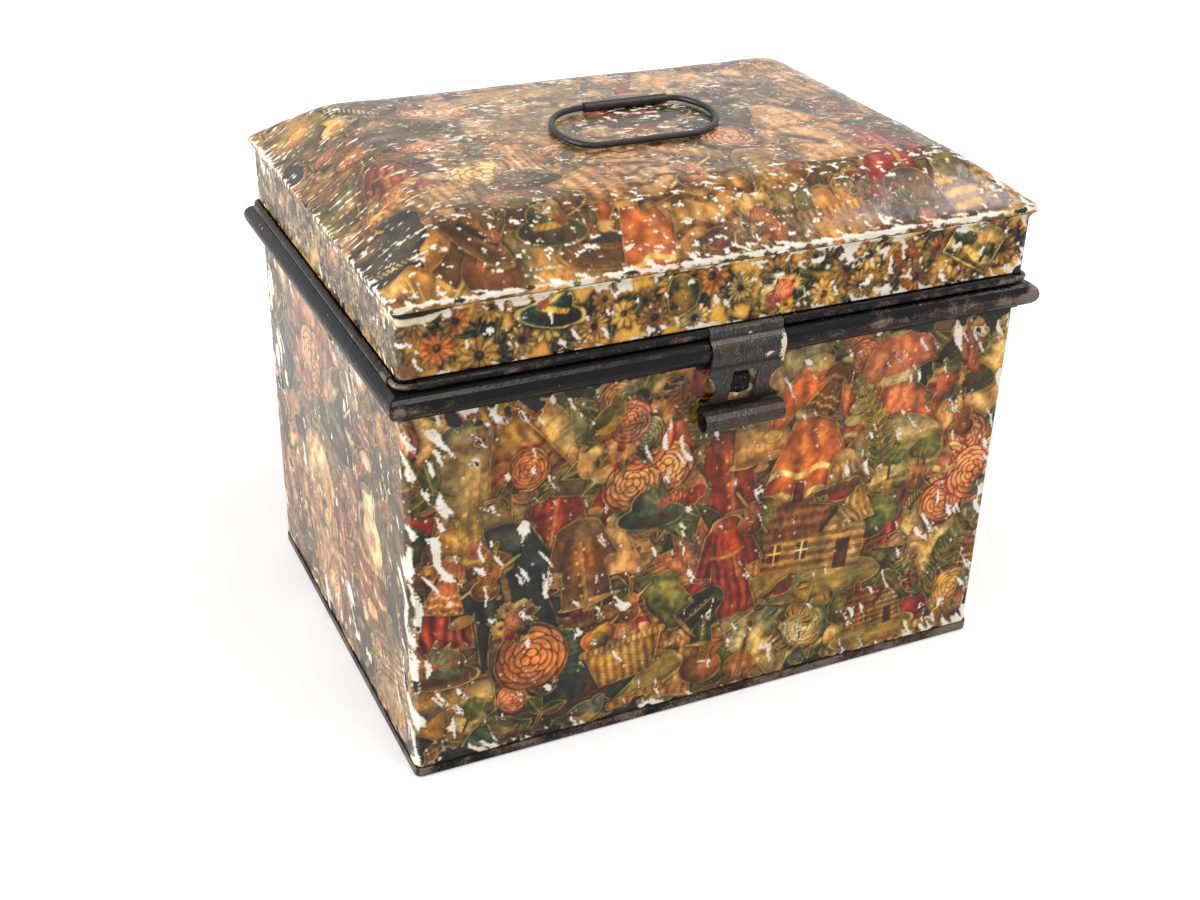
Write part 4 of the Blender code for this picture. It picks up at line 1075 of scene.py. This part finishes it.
def corner_map(a, b, half_x, half_y, radius):
    """Bend the corners of a square grid round to a radius."""
    far_x, far_y = np.abs(a) - half_x + radius, np.abs(b) - half_y + radius
    both = (far_x > 0) & (far_y > 0)
    share_x, share_y = np.clip(far_x / radius, 0, 1), np.clip(far_y / radius, 0, 1)
    bent_x = half_x - radius + radius * share_x * np.sqrt(1 - share_y ** 2 / 2)
    bent_y = half_y - radius + radius * share_y * np.sqrt(1 - share_x ** 2 / 2)
    return np.where(both, np.sign(a) * bent_x, a), np.where(both, np.sign(b) * bent_y, b)


def beyond_lip(x, y):
    """How far a place lies beyond the lip's outline, and the way out there."""
    core_x, core_y = LIP_X - LIP_CORNER, LIP_Y - LIP_CORNER
    over_x, over_y = np.abs(x) - core_x, np.abs(y) - core_y
    reach_x, reach_y = np.maximum(over_x, 0), np.maximum(over_y, 0)
    reach = np.hypot(reach_x, reach_y)
    side = reach < 1e-9
    out_x = np.where(side, over_x > over_y, reach_x / np.maximum(reach, 1e-9)) * np.sign(x)
    out_y = np.where(side, over_x <= over_y, reach_y / np.maximum(reach, 1e-9)) * np.sign(y)
    return np.where(side, np.maximum(over_x, over_y), reach) - LIP_CORNER, out_x, out_y


def roof_heights():
    """The lid's height on a grid, softened over its creases but never under the tin."""
    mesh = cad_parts["lid_top"].data
    points = [vertex.co.copy() for vertex in mesh.vertices]
    tree = BVHTree.FromPolygons(points, [tuple(face.vertices) for face in mesh.polygons])
    step, margin = 0.0015, 0.006
    xs = np.arange(-LIP_X - margin, LIP_X + margin, step)
    ys = np.arange(-LIP_Y - margin, LIP_Y + margin, step)
    heights = np.empty((len(ys), len(xs)))
    down = Vector((0, 0, -1))
    for row, y in enumerate(ys):
        for column, x in enumerate(xs):
            far, out_x, out_y = beyond_lip(x, y)
            back = max(float(far) + 0.0007, 0.0)
            hit = tree.ray_cast(Vector((x - back * float(out_x), y - back * float(out_y), 0.5)), down)[0]
            passed = hit is None or hit.z < LIP_TOP - 0.001
            heights[row, column] = heights[row, column - 1] if passed else hit.z
    soft = heights
    for _ in range(6):
        soft = blur(np.pad(soft, 1, mode="edge"))
    return np.maximum(heights, soft), (xs[0], ys[0], step)


def lay_roof(canvas, material, strips=4):
    """The skins of the lid's top, which follow the tin over its edge."""
    heights, (low_x, low_y, step) = roof_heights()
    half_a, half_b = LIP_X + LIP_DROP, LIP_Y + LIP_DROP
    columns, rows = round(2 * half_a / FINE) + 1, round(2 * half_b / FINE / strips) * strips + 1
    a, b = np.meshgrid(np.linspace(-half_a, half_a, columns), np.linspace(-half_b, half_b, rows))
    x, y = corner_map(a, b, half_a, half_b, LIP_CORNER + LIP_DROP)
    far, out_x, out_y = beyond_lip(x, y)
    over = np.maximum(far, 0)
    flat_x, flat_y = x - over * out_x, y - over * out_y

    def height_at(right, up):
        return sample(heights, (flat_x - low_x) / step + right, (flat_y - low_y) / step + up)

    slope_x = (height_at(0.7, 0) - height_at(-0.7, 0)) / (1.4 * step)
    slope_y = (height_at(0, 0.7) - height_at(0, -0.7)) / (1.4 * step)
    relief, colour, gloss = canvas.at((a + half_a) / canvas.step, (b + half_b) / canvas.step)
    dents = 0.0007 * smooth(layers(a.shape, 0.03 / FINE, np.random.default_rng(5), 2), 0.35, 0.8)
    handle = near(x, y, 0, 0, 0.09, 0.075)
    bare = smooth(-far, 0.004, 0.02) * np.clip(1 - 1.4 * handle, 0, 1)
    edge = 1 - smooth(over, LIP_DROP - 0.0008, LIP_DROP)
    lift = PAPER_GAP + relief * edge + dents * bare
    turned = smooth(far, -0.0016, 0.0009)
    normal = np.stack((-slope_x * (1 - turned) + out_x * turned, -slope_y * (1 - turned) + out_y * turned,
                       1 - turned), -1)
    normal /= np.linalg.norm(normal, axis=-1, keepdims=True)
    points = np.stack((flat_x, flat_y, height_at(0, 0) - over), -1) + normal * lift[..., None]
    span = (rows - 1) // strips
    for number in range(strips):
        part = slice(number * span, (number + 1) * span + 1)
        skin("papered_roof_%d" % (number + 1), "lid", points[part], colour[part], gloss[part], material)


# Materials

class Nodes:
    """The nodes of a material or a world, added by short calls."""

    def __init__(self, owner):
        owner.use_nodes = True
        self.owner = owner
        self.tree = owner.node_tree

    @cached_property
    def place(self):
        return self.node("TexCoord").outputs["Object"]

    def link(self, value, socket):
        """Lead a node's output to a socket, or set the socket to a value or a colour."""
        if isinstance(value, bpy.types.NodeSocket):
            self.tree.links.new(value, socket)
        elif isinstance(value, np.ndarray):
            socket.default_value = (*map(float, to_linear(value)), 1.0)
        else:
            socket.default_value = value

    def node(self, kind, settings=None, *values, **named):
        """Values go to the first sockets in turn, named ones to the sockets of those names."""
        made = self.tree.nodes.new("ShaderNode" + kind)
        for key, value in (settings or {}).items():
            setattr(made, key, value)
        for key, value in (*enumerate(values), *named.items()):
            self.link(value, made.inputs[key])
        return made

    def maths(self, operation, *values, clamp=False):
        return self.node("Math", {"operation": operation, "use_clamp": clamp}, *values).outputs[0]

    def scale(self, value, gain, plus=0.0):
        return self.maths("MULTIPLY_ADD", value, gain, plus)

    def ramp(self, value, low, high, first=0.0, last=1.0):
        """First at low and below, last at high and above."""
        smoothly = {"interpolation_type": "SMOOTHSTEP"}
        return self.node("MapRange", smoothly, value, low, high, first, last).outputs[0]

    def blend(self, share, first, second, kind="MIX"):
        made = self.node("Mix", {"data_type": "RGBA", "blend_type": kind}, share)
        self.link(first, made.inputs[6])
        self.link(second, made.inputs[7])
        return made.outputs[2]

    def grain(self, scale, detail, roughness=0.55, stretch=None):
        place = self.place
        if stretch:
            place = self.node("Mapping", None, Vector=place, Scale=stretch).outputs[0]
        return self.node("TexNoise", None, Vector=place, Scale=scale, Detail=detail,
                         Roughness=roughness).outputs["Fac"]

    def finish(self, colour, rough, strength, distance, height, **others):
        """Lead all to the shader; others names more of its sockets, with _ for a space."""
        bump = self.node("Bump", None, Strength=strength, Distance=distance, Height=height).outputs[0]
        shader = self.tree.nodes["Principled BSDF"]
        for key, value in dict(Base_Color=colour, Roughness=rough, Normal=bump, **others).items():
            self.link(value, shader.inputs[key.replace("_", " ")])
        return self.owner


def paper_material():
    """Printed paper under crazed, brushed varnish."""
    t = Nodes(bpy.data.materials.new("varnished paper"))
    ink = t.node("Attribute", {"attribute_name": "paint"}).outputs["Color"]
    gloss = t.node("Attribute", {"attribute_name": "gloss"}).outputs["Fac"]
    colour = t.blend(1.0, ink, t.scale(t.grain(2200, 2, 0.6), 0.5, 0.75), "MULTIPLY")
    brushed = t.grain(420, 3, 0.6, (1, 1, 0.25))
    rough = t.maths("ADD", t.scale(brushed, 0.16, -0.07), gloss, clamp=True)
    craze = t.node("TexVoronoi", {"feature": "DISTANCE_TO_EDGE"}, Vector=t.place, Scale=330).outputs[0]
    height = t.scale(t.grain(90, 3), 1.4, t.scale(brushed, 0.3))
    height = t.scale(t.ramp(craze, 0.0, 0.06), 0.1, height)
    return t.finish(colour, rough, 0.5, 0.0004, height, Specular_IOR_Level=0.3, Coat_Weight=0.12,
                    Coat_Roughness=0.14)


def worn_black(name, edge, wear, rust=0.5, right=0.05):
    """Black japan, rubbed to brown and grey steel where its outer edge stands out beyond the walls, and
    more so to the right of the hasp."""
    t = Nodes(bpy.data.materials.new(name))
    parts = t.node("SeparateXYZ", None, t.place).outputs
    out_x = t.maths("SUBTRACT", t.maths("ABSOLUTE", parts[0]), WALL_X)
    out_y = t.maths("SUBTRACT", t.maths("ABSOLUTE", parts[1]), WALL_Y)
    rubbed = t.ramp(t.maths("MAXIMUM", out_x, out_y), edge - 0.0016, edge + 0.0004)
    corner = t.scale(t.ramp(out_x, -0.03, 0.004), t.ramp(out_y, -0.03, 0.004))
    clouds = t.grain(55, 6, 0.62)
    pits = t.grain(620, 4, 0.65)
    level = t.scale(pits, 0.35)
    for value, gain in ((rubbed, 0.16), (corner, 0.13), (clouds, 0.65), (t.ramp(parts[0], 0.0, 0.06), right),
                        (t.ramp(out_x, -0.001, 0.002), 0.07)):
        level = t.scale(value, gain, level)
    worn = t.ramp(level, 0.78 - 0.2 * wear, 0.9 - 0.2 * wear)
    scratched = t.scale(t.grain(700, 3, 0.6, (0.25, 0.25, 2.5)), 0.12, level)
    bare = t.ramp(scratched, 0.93 - 0.2 * wear, 1.02 - 0.2 * wear)
    colour = t.blend(clouds, rgb(10, 11, 12), rgb(26, 24, 23))
    colour = t.blend(worn, colour, mix(rgb(62, 54, 48), rgb(74, 52, 40), rust))
    colour = t.blend(bare, colour, rgb(122, 112, 100))
    colour = t.blend(t.ramp(t.grain(240, 2), 0.735, 0.75), colour, rgb(176, 160, 134))
    rough = t.scale(pits, 0.16, t.scale(worn, 0.28, 0.09))
    height = t.scale(t.grain(130, 3), 1.6, t.scale(worn, -0.5, t.scale(pits, 0.5)))
    return t.finish(colour, rough, 0.6, 0.00035, height, Specular_IOR_Level=0.17, Metallic=t.scale(bare, 0.6))


def worn_steel(name, light=1.0, shine=0.3, flakes=(), creases=()):
    """Steel whose japan has mostly gone: grey-brown, scratched, blue-black in the hollows.
    Flakes are patches of cream paint: place, reach and share covered. Creases are heights of folds
    where the steel is darkened as painted shade, and the reach of each."""
    t = Nodes(bpy.data.materials.new(name))
    clouds = t.grain(90, 5, 0.62)
    pits = t.grain(900, 4, 0.65)
    brushed = t.ramp(t.grain(700, 3, 0.6, (2.4, 1, 0.22)), 0.36, 0.68)
    steel = t.blend(brushed, rgb(36, 34, 33) * light, rgb(168, 155, 140) * light)
    brown = t.blend(pits, rgb(38, 31, 27), rgb(88, 70, 56) * light)
    colour = t.blend(t.ramp(clouds, 0.42, 0.6), steel, brown)
    dark = t.ramp(t.scale(pits, 0.4, t.scale(clouds, 0.6)), 0.58, 0.46)
    colour = t.blend(t.scale(dark, 0.85), colour, rgb(24, 25, 28))
    metal = t.scale(brushed, shine, shine)
    rough = t.scale(pits, 0.3, 0.26)
    # Painted shade along each fold: darker near its height
    for at, reach in creases:
        height = t.node("SeparateXYZ", None, t.place).outputs[2]
        off = t.scale(clouds, 0.8 * reach, t.maths("ABSOLUTE", t.maths("SUBTRACT", height, at)))
        colour = t.blend(t.scale(t.ramp(off, 1.5 * reach, 0.6 * reach), 0.9), colour, rgb(15, 15, 18))
    for at, reach, share in flakes:
        offset = t.node("VectorMath", {"operation": "SUBTRACT"}, t.place, at).outputs[0]
        offset = t.node("VectorMath", {"operation": "DIVIDE"}, offset, reach).outputs[0]
        far = t.node("VectorMath", {"operation": "LENGTH"}, offset).outputs["Value"]
        torn = t.scale(t.grain(420, 3, 0.6), 1.6, -0.8)
        patch = t.ramp(t.maths("ADD", far, torn), share + 0.05, share - 0.05)
        colour = t.blend(patch, colour, rgb(228, 214, 184))
        metal = t.scale(metal, t.scale(patch, -1.0, 1.0))
        rough = t.scale(patch, 0.3, rough)
    height = t.scale(brushed, 0.12, t.scale(clouds, 1.2, t.scale(pits, 0.4)))
    return t.finish(colour, rough, 0.5, 0.0003, height, Metallic=metal)


def inner_tin():
    """The sheets' own japan, dull inside the box, with brown mottling."""
    t = Nodes(bpy.data.materials.new("inner japan"))
    clouds = t.grain(26, 6, 0.6)
    pits = t.grain(500, 4, 0.6)
    colour = t.blend(t.ramp(clouds, 0.4, 0.7), rgb(40, 34, 30), rgb(84, 62, 44))
    colour = t.blend(t.ramp(pits, 0.62, 0.72), colour, rgb(112, 92, 70))
    return t.finish(colour, t.scale(pits, 0.3, 0.3), 0.4, 0.0003, t.maths("ADD", clouds, pits))


def thick_japan():
    """Glossy lumps of black, with a little dust in them and pale specks painted as glints."""
    t = Nodes(bpy.data.materials.new("thick japan"))
    dust = t.ramp(t.grain(900, 4, 0.6), 0.56, 0.68)
    colour = t.blend(dust, rgb(6, 7, 8), rgb(62, 57, 46))
    # Pale specks: painted glints
    colour = t.blend(t.ramp(t.grain(1500, 2), 0.66, 0.71), colour, rgb(166, 162, 142))
    return t.finish(colour, t.scale(dust, 0.4, 0.1), 1.0, 0.0016, t.grain(420, 3), Specular_IOR_Level=0.18)


def coat_nodes(material, *names):
    """Give CAD nodes a material."""
    for name in names:
        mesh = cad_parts[name].data
        mesh.materials.clear()
        mesh.materials.append(material)
        for face in mesh.polygons:
            face.material_index = 0


def worn_staple(material):
    """The staple under its thick japan: the CAD piece, rounded to a lump outside the wall."""
    piece = bpy.data.objects.new("japanned_staple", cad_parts["staple"].data.copy())
    bpy.context.scene.collection.objects.link(piece)
    remesh = piece.modifiers.new("remesh", "REMESH")
    remesh.mode, remesh.voxel_size = "VOXEL", 0.0004
    softer = piece.modifiers.new("soften", "SMOOTH")
    softer.factor, softer.iterations = 0.5, 8
    mesh = bpy.data.meshes.new_from_object(piece.evaluated_get(bpy.context.evaluated_depsgraph_get()))
    piece.modifiers.clear()
    piece.data = mesh
    low, high = (Vector(corner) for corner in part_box("staple"))
    middle, half = (low + high) / 2, (high - low) / 2
    for vertex in mesh.vertices:
        lump = 0.0011 * noise_at(vertex.co * 260) + 0.0005 * noise_at(vertex.co * 700)
        across, up = (vertex.co.x - middle.x) / half.x, (vertex.co.z - middle.z) / half.z
        outside = min(max((-WALL_Y - vertex.co.y) / 0.001, 0), 1)
        narrow = 1 - 0.8 * outside * (1 - math.sqrt(max(1 - up * up / 2, 0)))
        low_down = 1 - 0.8 * outside * (1 - math.sqrt(max(1 - across * across / 2, 0)))
        vertex.co.x, vertex.co.z = middle.x + across * narrow * half.x, middle.z + up * low_down * half.z
        dome = 0.0009 * (1 - min(across * across, 1)) * (1 - min(up * up, 1))
        vertex.co.y -= outside * (dome + max(lump, -0.0004))
    mesh.shade_smooth()
    mesh.materials.clear()
    mesh.materials.append(material)
    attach(piece, "box")
    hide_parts("staple")


# Light, floor and camera

ROOM, KEY, SIDE = 0.55, 19.0, 32.0
FLOOR_NEAR, FLOOR_FAR, FLOOR_REACH, FLOOR_TOP = 0.3, 1.15, 6.0, -0.0002
CAMERA_PLACE = Vector((-0.43349, -0.88807, 0.65795))
CAMERA_TURN, CAMERA_TILT, CAMERA_ROLL = 0.44113, 0.50645, 0.0244
CAMERA_LENS = 48.472


def lamp(name, place, target, size, power):
    light = bpy.data.lights.new(name, "AREA")
    light.shape = "RECTANGLE"
    light.size, light.size_y = size
    light.energy = power
    made = bpy.data.objects.new(name, light)
    way = Vector(target) - Vector(place)
    made.matrix_world = Matrix.Translation(place) @ way.to_track_quat("-Z", "Y").to_matrix().to_4x4()
    bpy.context.scene.collection.objects.link(made)


def studio():
    """A white room: bright to the eye and in reflections, softer as light."""
    world = bpy.data.worlds.new("studio")
    bpy.context.scene.world = world
    t = Nodes(world)
    path = t.node("LightPath").outputs
    seen = t.maths("ADD", path["Is Camera Ray"], path["Is Glossy Ray"])
    seen = t.maths("ADD", seen, path["Is Transmission Ray"], clamp=True)
    back = t.tree.nodes["Background"]
    t.link(t.scale(seen, 1 - ROOM, ROOM), back.inputs["Strength"])
    back.inputs["Color"].default_value = (1, 1, 1, 1)
    lamp("key", (0.75, -0.8, 1.75), (0, 0, 0.2), (2.0, 0.3), KEY)
    lamp("left", (-2.0, 0.2, 0.9), (0, 0, 0.15), (1.4, 1.2), SIDE)


def floor():
    """A white floor: as bright as the room to the camera, and matt to light, so shadows fall on it."""
    mesh = bpy.data.meshes.new("floor")
    corners = [(side_x * FLOOR_REACH, side_y * FLOOR_REACH, FLOOR_TOP)
               for side_x, side_y in ((-1, -1), (1, -1), (1, 1), (-1, 1))]
    mesh.from_pydata(corners, [], [(0, 1, 2, 3)])
    plane = bpy.data.objects.new("floor", mesh)
    bpy.context.scene.collection.objects.link(plane)
    t = Nodes(bpy.data.materials.new("floor white"))
    t.tree.nodes.remove(t.tree.nodes["Principled BSDF"])
    far = t.node("VectorMath", {"operation": "LENGTH"}, t.place).outputs["Value"]
    glow = t.ramp(far, FLOOR_NEAR, FLOOR_FAR, 0.3, 1.0)
    glow = t.scale(t.node("LightPath").outputs["Is Camera Ray"], glow)
    white = t.node("Emission", None, (1, 1, 1, 1), glow).outputs[0]
    matt = t.node("BsdfDiffuse", None, (0.86, 0.86, 0.86, 1)).outputs[0]
    both = t.node("AddShader", None, white, matt).outputs[0]
    t.link(both, t.tree.nodes["Material Output"].inputs["Surface"])
    mesh.materials.append(t.owner)


def camera():
    level = Vector((math.cos(CAMERA_TURN), -math.sin(CAMERA_TURN), 0))
    ahead = Vector((math.sin(CAMERA_TURN) * math.cos(CAMERA_TILT),
                    math.cos(CAMERA_TURN) * math.cos(CAMERA_TILT), -math.sin(CAMERA_TILT)))
    above = level.cross(ahead)
    right = math.cos(CAMERA_ROLL) * level + math.sin(CAMERA_ROLL) * above
    top = math.cos(CAMERA_ROLL) * above - math.sin(CAMERA_ROLL) * level
    data = bpy.data.cameras.new("camera")
    data.lens = CAMERA_LENS
    data.sensor_width = 36
    data.clip_start, data.clip_end = 0.02, 50
    made = bpy.data.objects.new("camera", data)
    made.matrix_world = Matrix.Translation(CAMERA_PLACE) @ Matrix((right, top, -ahead)).transposed().to_4x4()
    bpy.context.scene.collection.objects.link(made)
    bpy.context.scene.camera = made


bpy.context.scene.view_settings.view_transform = "Standard"

# Tin: how far each bead or edge stands out, how worn it is and how rusty
coat_nodes(inner_tin(), "wall_front", "wall_back", "wall_left", "wall_right", "lid_top")
coat_nodes(worn_black("worn bead", 0.0099, 0.5, right=0.15), "moulding_front", "moulding_back",
           "moulding_left", "moulding_right")
coat_nodes(worn_black("worn roll", 0.0061, 0.75, 0.7), "lid_skirt")
coat_nodes(worn_black("worn wire", 0.004, 1.0, 0.8), "lid_wire")
coat_nodes(worn_black("worn foot", 0.0011, 1.1, 0.6), "base_pan")

# Hardware
HASP_FLAKES = (((0.0285, -0.1645, 0.2555), (0.004, 0.02, 0.011), 0.8),
               ((0.018, -0.1645, 0.2525), (0.006, 0.02, 0.005), 0.42),
               ((0.0075, -0.1645, 0.2665), (0.004, 0.02, 0.002), 0.5))
# Heights of the hasp's folds and their reach, darkened there as painted shade
HASP_CREASE_SHADES = ((0.2658, 0.0009), (0.2487, 0.0022), (0.2213, 0.0016))
coat_nodes(worn_steel("hasp steel", flakes=HASP_FLAKES, creases=HASP_CREASE_SHADES), "hasp")
coat_nodes(worn_steel("worn steel"), "hinge_left", "hinge_right", "rivet_left_1", "rivet_left_2",
           "rivet_right_1", "rivet_right_2")
coat_nodes(worn_steel("handle steel", 0.46, 0.12), "handle")
coat_nodes(worn_steel("clip steel", 0.6, 0.2), "handle_clip")
worn_staple(thick_japan())

# Paper
varnished = paper_material()
walls = wall_paper()
for side, spacing, pieces in (("front", FINE, 3), ("left", COARSE, 1), ("right", COARSE, 1),
                              ("back", COARSE, 2)):
    upright("papered_body", "box", walls, BODY_LOW, BODY_HIGH, side, spacing, pieces, wall_shape, varnished)
strip = skirt_paper()
for side, spacing in (("front", FINE), ("left", FINE), ("right", COARSE), ("back", COARSE)):
    upright("papered_skirt", "lid", strip, SKIRT_LOW, SKIRT_HIGH, side, spacing, 1, skirt_shape, varnished)
lay_roof(roof_paper(), varnished)

studio()
floor()
camera()
